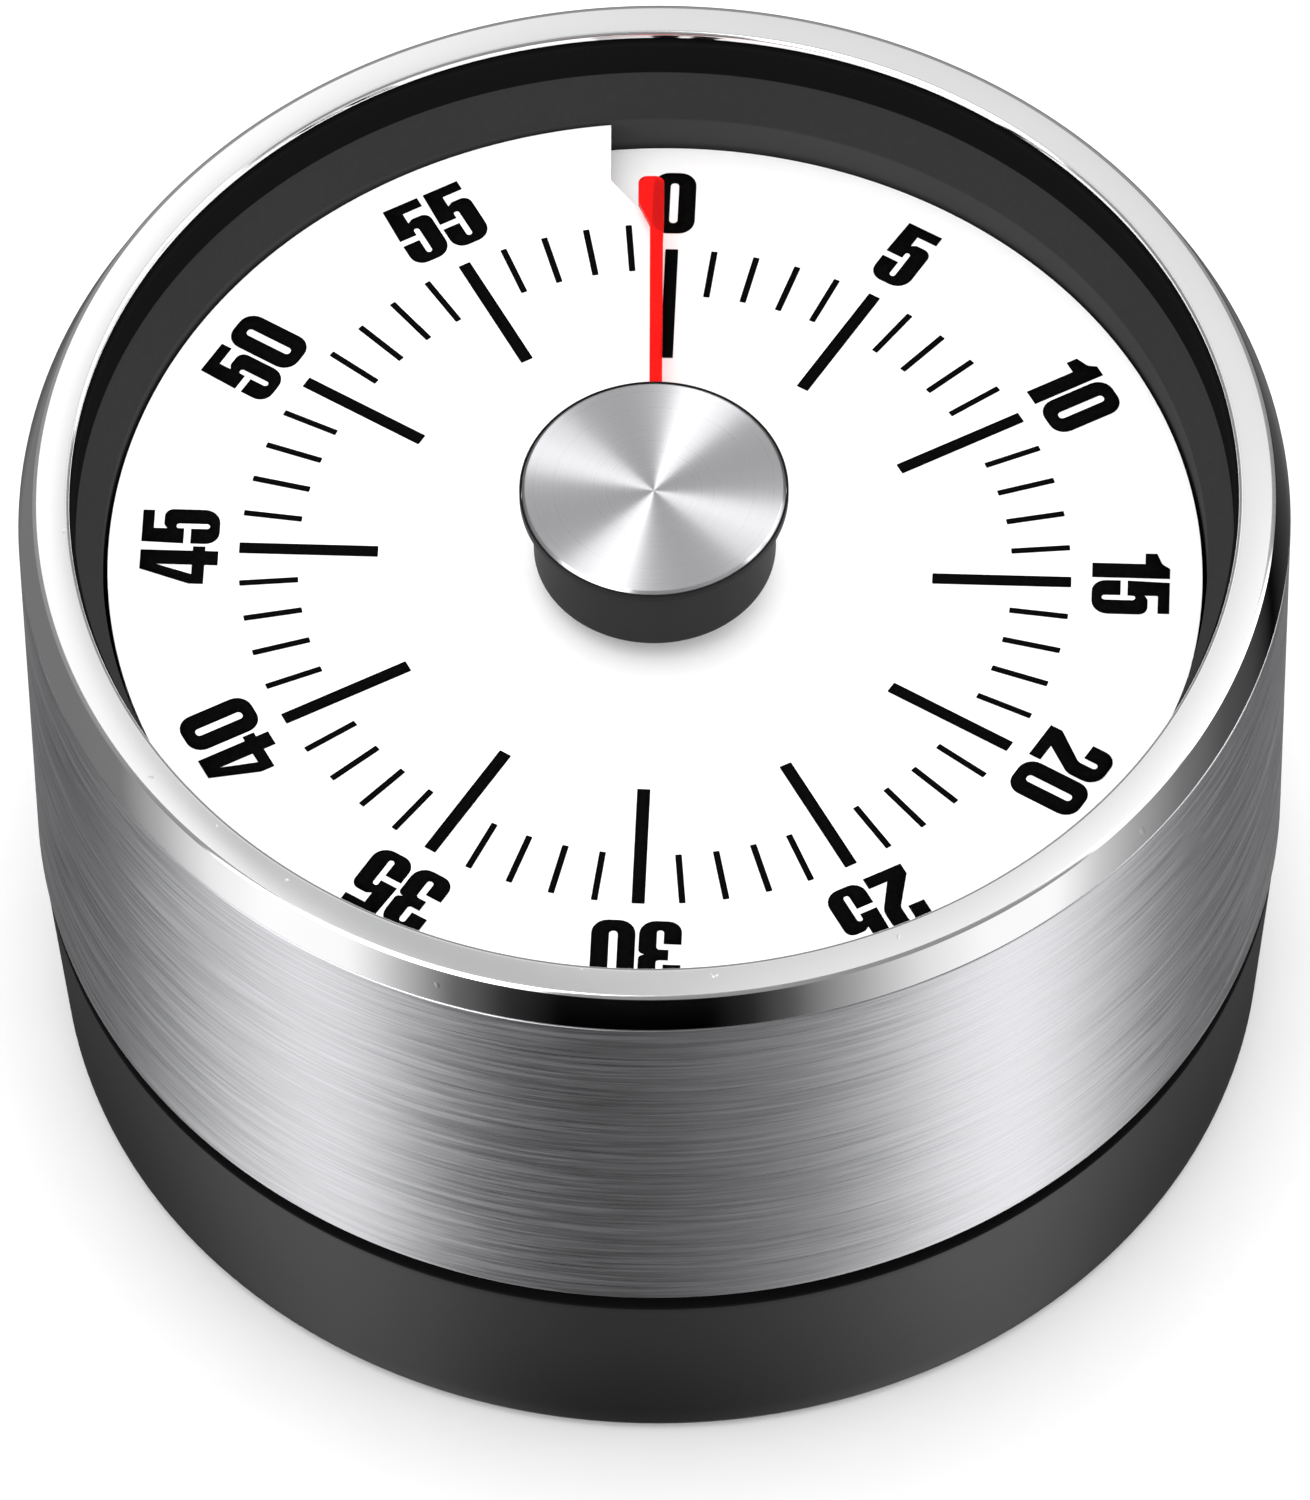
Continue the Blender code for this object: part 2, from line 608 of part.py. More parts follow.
def disc_hub(carrier):
    """A sleeve keyed on the stem's two flats, with a helical top that carries the disc."""
    bore, flat = STEM_R + RUN, STEM_FLAT + RUN

    def inner(angle):
        across = abs(math.cos(math.radians(angle)))
        return min(bore, flat / max(across, 1e-6))

    swept("disc_hub", round_stations(
        disc_angles(40), inner, lambda a: DIAL_HOLE_R - 0.4, lambda a: DISC_LOW - 1.5,
        lambda a: disc_middle(a) - DISC_T / 2 - GAP), "nylon", carrier)


def knob(carrier):
    bore = MAIN_ARBOR_R + RUN
    pocket_z = POINTER_Z + POINTER_T + GAP
    stem_low = DISC_LOW - 1.8
    skirt = turned("knob_skirt", [
        (bore, stem_low), (STEM_R, stem_low), (STEM_R, pocket_z),
        (SKIRT_R - SKIRT_WALL, pocket_z), (SKIRT_R - SKIRT_WALL, SKIRT_BOTTOM),
        (SKIRT_R, SKIRT_BOTTOM), (SKIRT_R, SKIRT_TOP - 0.5), (SKIRT_R - 0.5, SKIRT_TOP),
        (bore, SKIRT_TOP)], "grey_plastic", MID, carrier)
    for side in (-1, 1):
        y0, y1 = sorted((side * STEM_FLAT, side * (STEM_R + 1.0)))
        flat = slab(f"stem_flat_{side}", [[(-4, y0), (4, y0), (4, y1), (-4, y1)]],
                    stem_low - 1.0, pocket_z - 1.2, "grey_plastic", carrier)
        joined(skirt, flat, "DIFFERENCE")
    half = POINTER_W / 2 + GAP
    gate = slab("pointer_gate", [[(-half, STEM_R + 2), (half, STEM_R + 2),
                                  (half, SKIRT_R + 1), (-half, SKIRT_R + 1)]],
                SKIRT_BOTTOM - 1.0, pocket_z, "grey_plastic", carrier)
    joined(skirt, gate, "DIFFERENCE")
    turned("knob_cap", [(0.0, CAP_Z), (CAP_R, CAP_Z), (CAP_R, CAP_Z + CAP_T - 0.2),
                        (CAP_R - 0.2, CAP_Z + CAP_T), (0.0, CAP_Z + CAP_T - 0.15)],
           "polished_steel", MID, carrier)


def pointer(carrier):
    """A ring clipped under the knob, a thin arm and a rounded paddle at its tip."""
    ring_r = SKIRT_R - SKIRT_WALL - GAP
    half = POINTER_W / 2
    start = math.asin(half / ring_r)
    outline = []
    for i in range(25):
        turn = math.pi / 2 - start - (2 * math.pi - 2 * start) * i / 24
        outline.append((ring_r * math.cos(turn), ring_r * math.sin(turn)))
    left, right = -PADDLE_SHIFT - PADDLE_W / 2, -PADDLE_SHIFT + PADDLE_W / 2
    foot, corner = POINTER_R - PADDLE_L, PADDLE_CORNER
    outline += [(-half, foot), (left, foot + PADDLE_SLANT),
                (left, POINTER_R - corner), (left + corner, POINTER_R),
                (right - corner, POINTER_R), (right, POINTER_R - corner),
                (right, foot + PADDLE_SLANT), (half, foot)]
    slab("pointer", [outline, circle(STEM_R + GAP, SMALL)], POINTER_Z,
         POINTER_Z + POINTER_T, "red_plastic", carrier)


# ---- movement: plates, pillars and screws -------------------------------------------------
def plates():
    running = [SECOND_AT, THIRD_AT, ESCAPE_AT, PALLET_AT, BALANCE_AT, HAMMER_AT, RELEASE_AT]
    pivots = [circle(PIVOT_R + RUN, TINY, at) for at in running]
    fixings = [circle(SCREW_R + GAP, TINY, polar(PILLAR_CIRCLE_R, a)) for a in PILLAR_DEG]
    outline = circle(PLATE_R, MID)
    slab("front_plate", [outline, circle(MAIN_ARBOR_R + RUN, SMALL)] + pivots + fixings,
         FRONT_BOTTOM, FRONT_TOP, "plated_steel")
    slab("back_plate", [outline, circle(MAIN_ARBOR_R + RUN, SMALL)] + pivots + fixings,
         BACK_BOTTOM, BACK_TOP, "plated_steel")


def pillars():
    for i, angle in enumerate(PILLAR_DEG):
        at = polar(PILLAR_CIRCLE_R, angle)
        low, high = BACK_TOP + GAP, FRONT_BOTTOM - GAP
        depth = high - 5.0
        turned(f"pillar_{i + 1}", [
            (0.0, BACK_BOTTOM), (SCREW_R, BACK_BOTTOM), (SCREW_R, low), (PILLAR_R, low),
            (PILLAR_R, high), (SCREW_R + RUN, high), (SCREW_R + RUN, depth), (0.0, depth)],
            "plated_steel", TINY, None, at)
        screw(f"movement_screw_{i + 1}", at, DECK_TOP, FRONT_BOTTOM - 3.5)


# ---- movement: power ----------------------------------------------------------------------
def main_arbor(carrier):
    turned("main_arbor", [
        (0.0, BACK_BOTTOM), (MAIN_ARBOR_R, BACK_BOTTOM), (MAIN_ARBOR_R, BACK_TOP + GAP),
        (MAIN_BODY_R, BACK_TOP + GAP), (MAIN_BODY_R, FRONT_BOTTOM - GAP),
        (MAIN_ARBOR_R, FRONT_BOTTOM - GAP), (MAIN_ARBOR_R, SKIRT_TOP - 0.6),
        (0.0, SKIRT_TOP - 0.6)], "plated_steel", SMALL, carrier)


def spring_barrel():
    wall = BARREL_WALL
    turned("spring_barrel", [
        (MAIN_BODY_R + GAP, BARREL_Z), (BARREL_R, BARREL_Z), (BARREL_R, BARREL_Z + BARREL_H),
        (BARREL_R - wall, BARREL_Z + BARREL_H), (BARREL_R - wall, BARREL_Z + wall),
        (MAIN_BODY_R + GAP, BARREL_Z + wall)], "brass", MID)


def spiral(name, inner_r, outer_r, turns, thickness, low, high, carrier):
    """A flat coiled spring, wound outward at an even pitch."""
    count = int(turns * 24)
    stations = []
    for i in range(count + 1):
        turn = 2 * math.pi * turns * i / count
        radius = inner_r + (outer_r - inner_r) * i / count
        near, far = radius - thickness / 2, radius + thickness / 2
        unit = (math.cos(turn), math.sin(turn))
        stations.append([(near * unit[0], near * unit[1], low),
                         (far * unit[0], far * unit[1], low),
                         (far * unit[0], far * unit[1], high),
                         (near * unit[0], near * unit[1], high)])
    return swept(name, stations, "spring_steel", carrier)


def mainspring():
    spiral("mainspring", MAIN_BODY_R + 2 * GAP + 0.2, BARREL_R - BARREL_WALL - 2 * GAP, 4.0,
           0.4, BARREL_Z + BARREL_WALL + GAP, BARREL_Z + BARREL_H - GAP, None)


def main_wheel(carrier):
    pitch_r = MAIN_TEETH * MAIN_MODULE / 2
    loops = [toothed(MAIN_TEETH, MAIN_MODULE, WHEEL_TOOTH, bearing(MIDDLE, SECOND_AT)),
             circle(MAIN_BODY_R + GAP, SMALL), circle(PIVOT_R + RUN, TINY, CLICK_AT)]
    loops += windows(pitch_r - 4.3, pitch_r - 1.6, 5, 0.9)
    slab("main_wheel", loops, MAIN_WHEEL_Z, MAIN_WHEEL_Z + 1.2, "brass", carrier)


def ratchet_and_cam(carrier):
    module = 2 * RATCHET_R / RATCHET_TEETH
    saw = ((0.0, 0.0), (0.9, -1.1 / module))
    slab("ratchet_wheel", [toothed(RATCHET_TEETH, module, saw, 0.1),
                           circle(MAIN_BODY_R + GAP, SMALL)],
         RATCHET_Z, RATCHET_Z + WHEEL_T, "plated_steel", carrier)
    start, span = NOTCH_AT_DEG + CAM_HALF_DEG, 360.0 - 2 * CAM_HALF_DEG
    rim = [polar(CAM_R, start + span * i / MID) for i in range(MID + 1)]
    rim += [polar(CAM_NOTCH_R, NOTCH_AT_DEG - 0.6 * CAM_HALF_DEG),
            polar(CAM_NOTCH_R, NOTCH_AT_DEG + 0.6 * CAM_HALF_DEG)]
    slab("stop_cam", [rim, circle(MAIN_BODY_R + GAP, SMALL)], CAM_Z, CAM_Z + WHEEL_T,
         "brass", carrier)


def click(carrier, wheel_carrier):
    """The pawl that lets the knob wind the spring; it hangs under the main wheel."""
    tip = polar(RATCHET_R + GAP, CLICK_TIP_DEG)
    length = math.dist(CLICK_AT, tip)
    points = [(-1.3, 0.0), (-0.9, -0.9), (0.0, -1.3), (1.2, -0.9), (length - 0.6, -0.2),
              (length, 0.1), (length - 0.5, 0.8), (1.2, 1.0), (0.0, 1.3), (-0.9, 0.9)]
    outline = rotated(points, bearing(CLICK_AT, tip))
    slab("click", [outline, circle(PIVOT_R + RUN, TINY)], RATCHET_Z, RATCHET_Z + WHEEL_T,
         "plated_steel", carrier)
    head_z = RATCHET_Z - GAP
    turned("click_stud", [
        (0.0, head_z - 0.5), (1.2, head_z - 0.5), (1.2, head_z), (PIVOT_R, head_z),
        (PIVOT_R, MAIN_WHEEL_Z + 1.2), (0.0, MAIN_WHEEL_Z + 1.2)], "plated_steel", TINY,
        wheel_carrier, CLICK_AT)
    spring_r = CLICK_R + 2.4
    stations = []
    for i in range(9):
        near, far = (polar(spring_r + d, 58.0 - 5.0 * i) for d in (-0.12, 0.12))
        stations.append([(*near, RATCHET_Z + 0.2), (*far, RATCHET_Z + 0.2),
                         (*far, RATCHET_Z + 0.8), (*near, RATCHET_Z + 0.8)])
    swept("click_spring", stations, "spring_steel", wheel_carrier)


# ---- movement: train ----------------------------------------------------------------------
def pinion(name, module, low, towards, carrier):
    """A shaft with its leaves cut on it; a gap between two leaves faces the driving wheel."""
    start = towards + math.pi / PINION_TEETH
    shaft = arbor(name, "plated_steel", carrier)
    leaves = slab(name + "_leaves", [toothed(PINION_TEETH, module, PINION_TOOTH, start)],
                  low, low + PINION_T, "plated_steel", carrier)
    return joined(shaft, leaves, "UNION")


def wheel(name, teeth, module, low, towards, finish, carrier, spokes=4):
    """A wheel with a tooth pointing straight at the pinion that it drives."""
    pitch_r = teeth * module / 2
    loops = [toothed(teeth, module, WHEEL_TOOTH, towards), circle(ARBOR_R + RUN, TINY)]
    loops += windows(2.4, pitch_r - 1.9, spokes, 0.6)
    slab(name, loops, low, low + WHEEL_T, finish, carrier)


def train(second, third, escape):
    pinion("second_pinion", MAIN_MODULE, SECOND_PINION_Z, bearing(SECOND_AT, MIDDLE), second)
    wheel("second_wheel", SECOND_TEETH, SECOND_MODULE, SECOND_WHEEL_Z,
          bearing(SECOND_AT, THIRD_AT), "brass", second)
    pinion("third_pinion", SECOND_MODULE, THIRD_PINION_Z, bearing(THIRD_AT, SECOND_AT), third)
    wheel("third_wheel", THIRD_TEETH, THIRD_MODULE, THIRD_WHEEL_Z,
          bearing(THIRD_AT, ESCAPE_AT), "brass", third)
    pinion("escape_pinion", THIRD_MODULE, ESCAPE_PINION_Z, bearing(ESCAPE_AT, THIRD_AT), escape)
    hook = ((0.0, 0.0), (0.12, 0.0), (0.55, -3.0), (0.8, -3.0))
    module = 2 * ESCAPE_R / ESCAPE_TEETH
    loops = [toothed(ESCAPE_TEETH, module, hook, 0.0), circle(ARBOR_R + RUN, TINY)]
    slab("escape_wheel", loops + windows(1.8, ESCAPE_R - 2.2, 4, 0.4), ESCAPE_Z,
         ESCAPE_Z + ESCAPE_T, "brass", escape)


# ---- movement: regulator ------------------------------------------------------------------
def pallets(carrier):
    """The anchor, whose two pallets straddle the escape wheel, and its fork."""
    towards = bearing(PALLET_AT, ESCAPE_AT)
    fork = bearing(PALLET_AT, BALANCE_AT) - towards
    shape = [(1.4, 1.3), (1.7, 3.9), (2.7, 3.5), (2.9, 4.2), (1.2, 4.9), (-0.2, 1.7)]
    mirrored = [(x, -y) for x, y in reversed(shape)]
    tail = rotated([(1.2, -0.9), (5.2, -0.45), (5.4, -1.2), (6.4, -1.4), (5.9, -0.45),
                    (5.9, 0.45), (6.4, 1.4), (5.4, 1.2), (5.2, 0.45), (1.2, 0.9)], fork)
    outline = rotated(shape + tail + mirrored, towards)
    slab("pallet_lever", [outline, circle(PIVOT_R + RUN + 0.05, TINY)], ESCAPE_Z,
         ESCAPE_Z + ESCAPE_T, "plated_steel", carrier)
    turned("pallet_arbor", [
        (0.0, BACK_BOTTOM), (PIVOT_R, BACK_BOTTOM), (PIVOT_R, FRONT_TOP), (0.0, FRONT_TOP)],
        "plated_steel", TINY, carrier)


def balance(carrier):
    loops = [circle(BALANCE_R, MID), circle(ARBOR_R + RUN, TINY)]
    loops += windows(1.9, BALANCE_R - 0.9, 3, 0.45)
    slab("balance_wheel", loops, BALANCE_Z, BALANCE_Z + WHEEL_T, "brass", carrier)
    staff = arbor("balance_staff", "plated_steel", carrier)
    roller = rod("balance_roller", 1.7, ESCAPE_Z, ESCAPE_Z + ESCAPE_T,
                 "plated_steel", TINY, carrier)
    joined(staff, roller, "UNION")


def hairspring():
    coil = spiral("hairspring", ARBOR_R + 2 * GAP, 4.2, 4.0, 0.18, BALANCE_Z + 1.8,
                  BALANCE_Z + 2.3, None)
    coil.location = (BALANCE_AT[0] * MM, BALANCE_AT[1] * MM, 0.0)


# ---- movement: alarm ----------------------------------------------------------------------
def capsule(length, wide, narrow):
    """A tapering bar with rounded ends, from its pivot at the middle of the plan."""
    points = []
    for i in range(7):
        turn = math.pi / 2 + math.pi * i / 6
        points.append((wide * math.cos(turn), wide * math.sin(turn)))
    for i in range(7):
        turn = -math.pi / 2 + math.pi * i / 6
        points.append((length + narrow * math.cos(turn), narrow * math.sin(turn)))
    return points


def hammer(carrier):
    towards = bearing(HAMMER_AT, HEAD_AT)
    offset = (HEAD_AT[0] - HAMMER_AT[0], HEAD_AT[1] - HAMMER_AT[1])
    arm = rotated(capsule(math.hypot(*offset), 1.8, 1.3), towards)
    slab("hammer_arm", [arm, circle(ARBOR_R, TINY), circle(PIVOT_R + GAP, TINY, offset)],
         ARM_Z, ARM_Z + HAMMER_T, "plated_steel", carrier)
    arbor("hammer_arbor", "plated_steel", carrier, ARM_Z - 0.5)
    face, rivet = ARM_Z - GAP, ARM_Z + HAMMER_T + 0.5
    turned("hammer_head", [
        (0.0, rivet), (PIVOT_R, rivet), (PIVOT_R, face), (HEAD_R, face),
        (HEAD_R, face - HEAD_T), (0.0, face - HEAD_T)], "brass", TINY, carrier, offset)


def release(carrier):
    """The lever that feels the cam's notch and sets the hammer free at zero."""
    nose = polar(CAM_R + 0.8, NOTCH_AT_DEG)
    bar = rotated(capsule(math.dist(RELEASE_AT, nose) - 0.45, 1.7, 0.45),
                  bearing(RELEASE_AT, nose))
    slab("release_lever", [bar, circle(ARBOR_R + RUN, TINY)], CAM_Z, CAM_Z + WHEEL_T,
         "plated_steel", carrier)
    arbor("release_arbor", "plated_steel", carrier)


def bell():
    post_r, bore = 2.5, SCREW_R + GAP
    low, high = BELL_BOTTOM, BELL_TOP
    crown = BELL_R - 4.0
    turned("bell", [
        (bore, low), (crown, low), (BELL_R - 1.2, low + 1.2), (BELL_R, low + 3.6),
        (BELL_R, high), (BELL_R - BELL_T, high), (BELL_R - BELL_T, low + 3.8),
        (BELL_R - 1.9, low + 1.9), (crown - 0.3, low + BELL_T), (bore, low + BELL_T)],
        "plated_steel", MID)
    post_low = low + BELL_T + GAP
    turned("bell_post", [
        (bore, post_low), (post_r, post_low), (post_r, BACK_BOTTOM - GAP),
        (0.0, BACK_BOTTOM - GAP), (0.0, BACK_BOTTOM - 1.5), (bore, BACK_BOTTOM - 1.5)],
        "brass", SMALL)
    screw("bell_screw", MIDDLE, low, low + 5.0)


# ---- the whole timer ----------------------------------------------------------------------
def build():
    clear_scene()
    base_shell()
    foot_ring()
    magnets_and_case_screws()
    steel_sleeve()
    bezel_ring()
    inner_frame()
    well_ring()
    dial_ramp()
    dial()
    knob_axis = pivot("knob_axis", MIDDLE)
    disc_axis = pivot("disc_axis", MIDDLE)
    disc_axis.parent = knob_axis
    countdown_disc(disc_axis)
    disc_hub(disc_axis)
    knob(knob_axis)
    pointer(knob_axis)
    plates()
    pillars()
    main_arbor(knob_axis)
    spring_barrel()
    mainspring()
    main_wheel(knob_axis)
    ratchet_and_cam(knob_axis)
    click_axis = pivot("click_axis", CLICK_AT)
    click_axis.parent = knob_axis
    click(click_axis, knob_axis)
    train(pivot("second_axis", SECOND_AT), pivot("third_axis", THIRD_AT),
          pivot("escape_axis", ESCAPE_AT))
    pallets(pivot("pallet_axis", PALLET_AT))
    balance(pivot("balance_axis", BALANCE_AT))
    hairspring()
    hammer(pivot("hammer_axis", HAMMER_AT))
    release(pivot("release_axis", RELEASE_AT))
    bell()


build()
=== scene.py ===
# %% [markdown]
# # A sixty-minute kitchen timer
# The clockwork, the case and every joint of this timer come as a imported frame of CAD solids.
# This lesson builds the looks on that frame: fine skins for the pieces that show, ink for the
# dial, a finish for each material, and a small studio whose cards draw the streaks on steel.
# Everything is in metres, the foot stands on the floor at the origin, and the zero mark of the
# dial lies towards +Y. Angles on the dial run clockwise from there.

import math

import bpy
from mathutils import Matrix, Quaternion, Vector


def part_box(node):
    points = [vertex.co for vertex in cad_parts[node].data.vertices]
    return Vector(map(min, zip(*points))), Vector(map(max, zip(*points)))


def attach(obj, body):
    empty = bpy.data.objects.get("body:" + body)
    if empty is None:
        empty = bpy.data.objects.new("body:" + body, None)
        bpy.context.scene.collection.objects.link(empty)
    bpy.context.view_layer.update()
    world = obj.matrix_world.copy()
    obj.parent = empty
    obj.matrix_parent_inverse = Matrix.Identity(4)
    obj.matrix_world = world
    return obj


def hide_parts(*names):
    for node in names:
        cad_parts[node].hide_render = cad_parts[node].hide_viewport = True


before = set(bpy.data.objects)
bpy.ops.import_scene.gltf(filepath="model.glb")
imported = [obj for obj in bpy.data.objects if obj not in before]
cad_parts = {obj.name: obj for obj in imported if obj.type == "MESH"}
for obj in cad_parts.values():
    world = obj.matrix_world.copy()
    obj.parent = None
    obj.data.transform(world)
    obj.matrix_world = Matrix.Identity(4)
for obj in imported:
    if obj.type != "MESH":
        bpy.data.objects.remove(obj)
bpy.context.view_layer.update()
MM = 0.001

# %% [markdown]
# The sizes are read from the CAD nodes, so that a skin always fits the solid it stands for.
# `low` and `high` give a node's lowest and highest corner in millimetres, which is the unit
# that the outlines below are written in.


# %% Sizes from the frame
def low(node):
    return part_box(node)[0] / MM


def high(node):
    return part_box(node)[1] / MM


CASE_R = high("steel_sleeve").x
RIM_Z = high("bezel_ring").z
CHAMFER_FOOT = RIM_Z - 2.07
RIM_OUT, RIM_IN = CASE_R - 0.94, CASE_R - 3.2
BASE_R = high("base_shell").x
DISC_R = high("countdown_disc").x
DIAL_R = high("dial").x
WELL_R = DIAL_R + 0.3
KNOB_TOP = high("knob_cap").z
CAP_R = high("knob_cap").x
DIAL_RISE = 2.55                      # climb of the dial in one turn
DIAL_T = 0.5
DIAL_HIGH = high("dial").z
DIAL_LOW = DIAL_HIGH - DIAL_RISE
print(f"case {2 * CASE_R:.1f} wide, rim at {RIM_Z:.2f}, dial from {DIAL_LOW:.2f} up {DIAL_RISE}")

# %% [markdown]
# ## Making tools
# Nearly every visible piece of a timer is turned on a lathe or cut from sheet. Both start as
# an outline, and an outline is best drawn as a maker would give it: corner by corner, each
# with its rounding. The rounding could be left to a bevel on the finished mesh, but worked out
# on the outline it gives even, clean arcs that also survive the spin. A corner with no
# rounding, set on a straight wall near its end, keeps the shading of that wall flat.


# %% Outlines with rounded corners
def rounded(corners, arc=5):
    """Outline points from (x, y, rounding) corners, each rounding an arc of a few points."""
    points = []
    for i, (x, y, rounding) in enumerate(corners):
        here = Vector((x, y))
        before = Vector(corners[i - 1][:2]) - here
        after = Vector(corners[(i + 1) % len(corners)][:2]) - here
        if rounding <= 0.0 or before.length < 1e-9 or after.length < 1e-9:
            points.append((x, y))
            continue
        a, b = before.normalized(), after.normalized()
        half = math.acos(max(-1.0, min(1.0, a.dot(b)))) / 2
        if abs(math.cos(half)) < 1e-3:
            points.append((x, y))
            continue
        reach = min(rounding / math.tan(half), 0.49 * before.length, 0.49 * after.length)
        radius = reach * math.tan(half)
        centre = here + (a + b).normalized() * (radius / math.sin(half))
        start, end = here + a * reach - centre, here + b * reach - centre
        sweep = start.angle_signed(end)
        for step in range(arc + 1):
            spoke = start.copy()
            spoke.rotate(Matrix.Rotation(-sweep * step / arc, 2))
            points.append(tuple(centre + spoke))
    return points


# %% [markdown]
# A mesh outline is walked in edit mode: one vertex is placed at the first point and extruded
# from point to point. The last step comes back to the start, where the doubles are merged.
# From there a piece is either spun round the Z axis, or filled and extruded upward.


# %% Walk an outline
def fresh(name):
    """A new piece with a single selected vertex at the origin, in edit mode."""
    if bpy.context.object and bpy.context.object.mode != "OBJECT":
        bpy.ops.object.mode_set(mode="OBJECT")
    bpy.ops.object.select_all(action="DESELECT")
    bpy.ops.mesh.primitive_plane_add(size=MM)
    piece = bpy.context.object
    piece.name = piece.data.name = name
    bpy.ops.object.mode_set(mode="EDIT")
    bpy.ops.mesh.select_all(action="SELECT")
    bpy.ops.mesh.merge(type="CENTER")
    return piece


def trace(points):
    """Carry the selected vertex through the points, in millimetres, and back to the first."""
    at = Vector(points[0]) * MM
    bpy.ops.transform.translate(value=at)
    for point in [*points[1:], points[0]]:
        step = Vector(point) * MM - at
        bpy.ops.mesh.extrude_region_move(TRANSFORM_OT_translate={"value": step})
        at = at + step


def weld():
    """Merge what lies on one spot, such as the two ends of a closed outline."""
    bpy.ops.mesh.select_all(action="SELECT")
    bpy.ops.mesh.remove_doubles(threshold=1e-7)


def smooth(piece):
    """Round the shading over gentle angles, and leave the real edges sharp."""
    bpy.ops.object.mode_set(mode="OBJECT")
    bpy.ops.object.shade_smooth_by_angle(angle=math.radians(35.0))
    return piece


def turned(name, corners, steps):
    """A lathe piece from (radius, height, rounding) corners of its closed section."""
    piece = fresh(name)
    trace([(r, 0.0, z) for r, z in rounded(corners)])
    weld()
    bpy.ops.mesh.spin(steps=steps, angle=2 * math.pi, center=(0, 0, 0), axis=(0, 0, 1))
    weld()
    bpy.ops.mesh.dissolve_degenerate(threshold=1e-8)
    bpy.ops.mesh.normals_make_consistent(inside=False)
    smooth(piece)
    print(name, "turned:", len(piece.data.polygons), "faces")
    return piece


def cut_sheet(name, loops, bottom, top, arc=5):
    """A flat piece from rounded loops, the first its outline and the rest its holes."""
    piece = fresh(name)
    for i, corners in enumerate(loops):
        if i:
            bpy.ops.mesh.select_all(action="DESELECT")
            bpy.ops.mesh.primitive_plane_add(size=MM)
            bpy.ops.mesh.merge(type="CENTER")
        trace([(x, y, bottom) for x, y in rounded(corners, arc)])
    weld()
    bpy.ops.mesh.fill()
    if top > bottom:
        bpy.ops.mesh.extrude_region_move(
            TRANSFORM_OT_translate={"value": (0, 0, (top - bottom) * MM)})
        bpy.ops.mesh.select_all(action="SELECT")
        bpy.ops.mesh.normals_make_consistent(inside=False)
    return smooth(piece)


# %% [markdown]
# Slots, pockets and screw holes are cut as in a machine shop, with a tool that has the shape
# of the hole. A Boolean modifier does the cut, and applying it keeps the mesh final.


# %% Cut, copy and place
def apply(piece, kind, **settings):
    """Put a modifier on a piece and make its result the mesh."""
    bpy.ops.object.select_all(action="DESELECT")
    bpy.context.view_layer.objects.active = piece
    piece.select_set(True)
    modifier = piece.modifiers.new(kind, kind)
    for name, value in settings.items():
        setattr(modifier, name, value)
    bpy.ops.object.modifier_apply(modifier=modifier.name)
    return piece


def discard(*pieces):
    for piece in pieces:
        bpy.data.objects.remove(piece, do_unlink=True)


def cut(piece, *tools):
    for tool in tools:
        apply(piece, "BOOLEAN", operation="DIFFERENCE", solver="EXACT", object=tool)
        discard(tool)
    return smooth(piece)


def block(name, x0, x1, y0, y1, z0, z1):
    """A square-cornered tool for the cuts."""
    return cut_sheet(name, [[(x0, y0, 0), (x1, y0, 0), (x1, y1, 0), (x0, y1, 0)]], z0, z1)


def choose(pieces):
    bpy.ops.object.select_all(action="DESELECT")
    for piece in pieces:
        piece.select_set(True)
    bpy.context.view_layer.objects.active = pieces[0]


def twin_of(piece, name):
    twin = piece.copy()
    twin.data = piece.data.copy()
    twin.name = twin.data.name = name
    bpy.context.collection.objects.link(twin)
    return twin


def copy_at(piece, name, x=0.0, y=0.0, degrees=0.0):
    """A copy with its own mesh, moved in millimetres and turned clockwise as seen from above."""
    twin = twin_of(piece, name)
    twin.location = (x * MM, y * MM, 0.0)
    twin.rotation_euler.z = -math.radians(degrees)
    choose([twin])
    bpy.ops.object.transform_apply(location=True, rotation=True, scale=True)
    return twin


def join(name, pieces):
    choose(pieces)
    bpy.ops.object.join()
    pieces[0].name = pieces[0].data.name = name
    return pieces[0]


def coat(piece, finish):
    piece.data.materials.clear()
    piece.data.materials.append(finish)


def fit(piece, body, slot, *nodes):
    """Hang a piece on its CAD body and say which nodes it stands for; slot, the name of its
    finish, is not used.
    """
    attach(piece, body)
    if nodes:
        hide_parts(*nodes)
    return piece


# %% [markdown]
# ## Shader arithmetic
# A pattern is easier to read as a sum than as a web of nodes. `Wire` wraps the output socket
# of a node and stands in ordinary expressions, and `Board.node` adds any other node.


# %% Wires and boards
class Wire:
    """A node's output that can be written in an expression, such as 1 - grain * 0.2."""

    def __init__(self, board, socket):
        self.board, self.socket = board, socket

    def maths(self, operation, *values):
        return self.board.node("ShaderNodeMath", {"operation": operation},
                               dict(enumerate(values)))

    def __add__(self, other):
        return self.maths("ADD", self, other)

    def __sub__(self, other):
        return self.maths("SUBTRACT", self, other)

    def __rsub__(self, other):
        return self.maths("SUBTRACT", other, self)

    def __mul__(self, other):
        return self.maths("MULTIPLY", self, other)

    def __truediv__(self, other):
        return self.maths("DIVIDE", self, other)

    __radd__, __rmul__ = __add__, __mul__


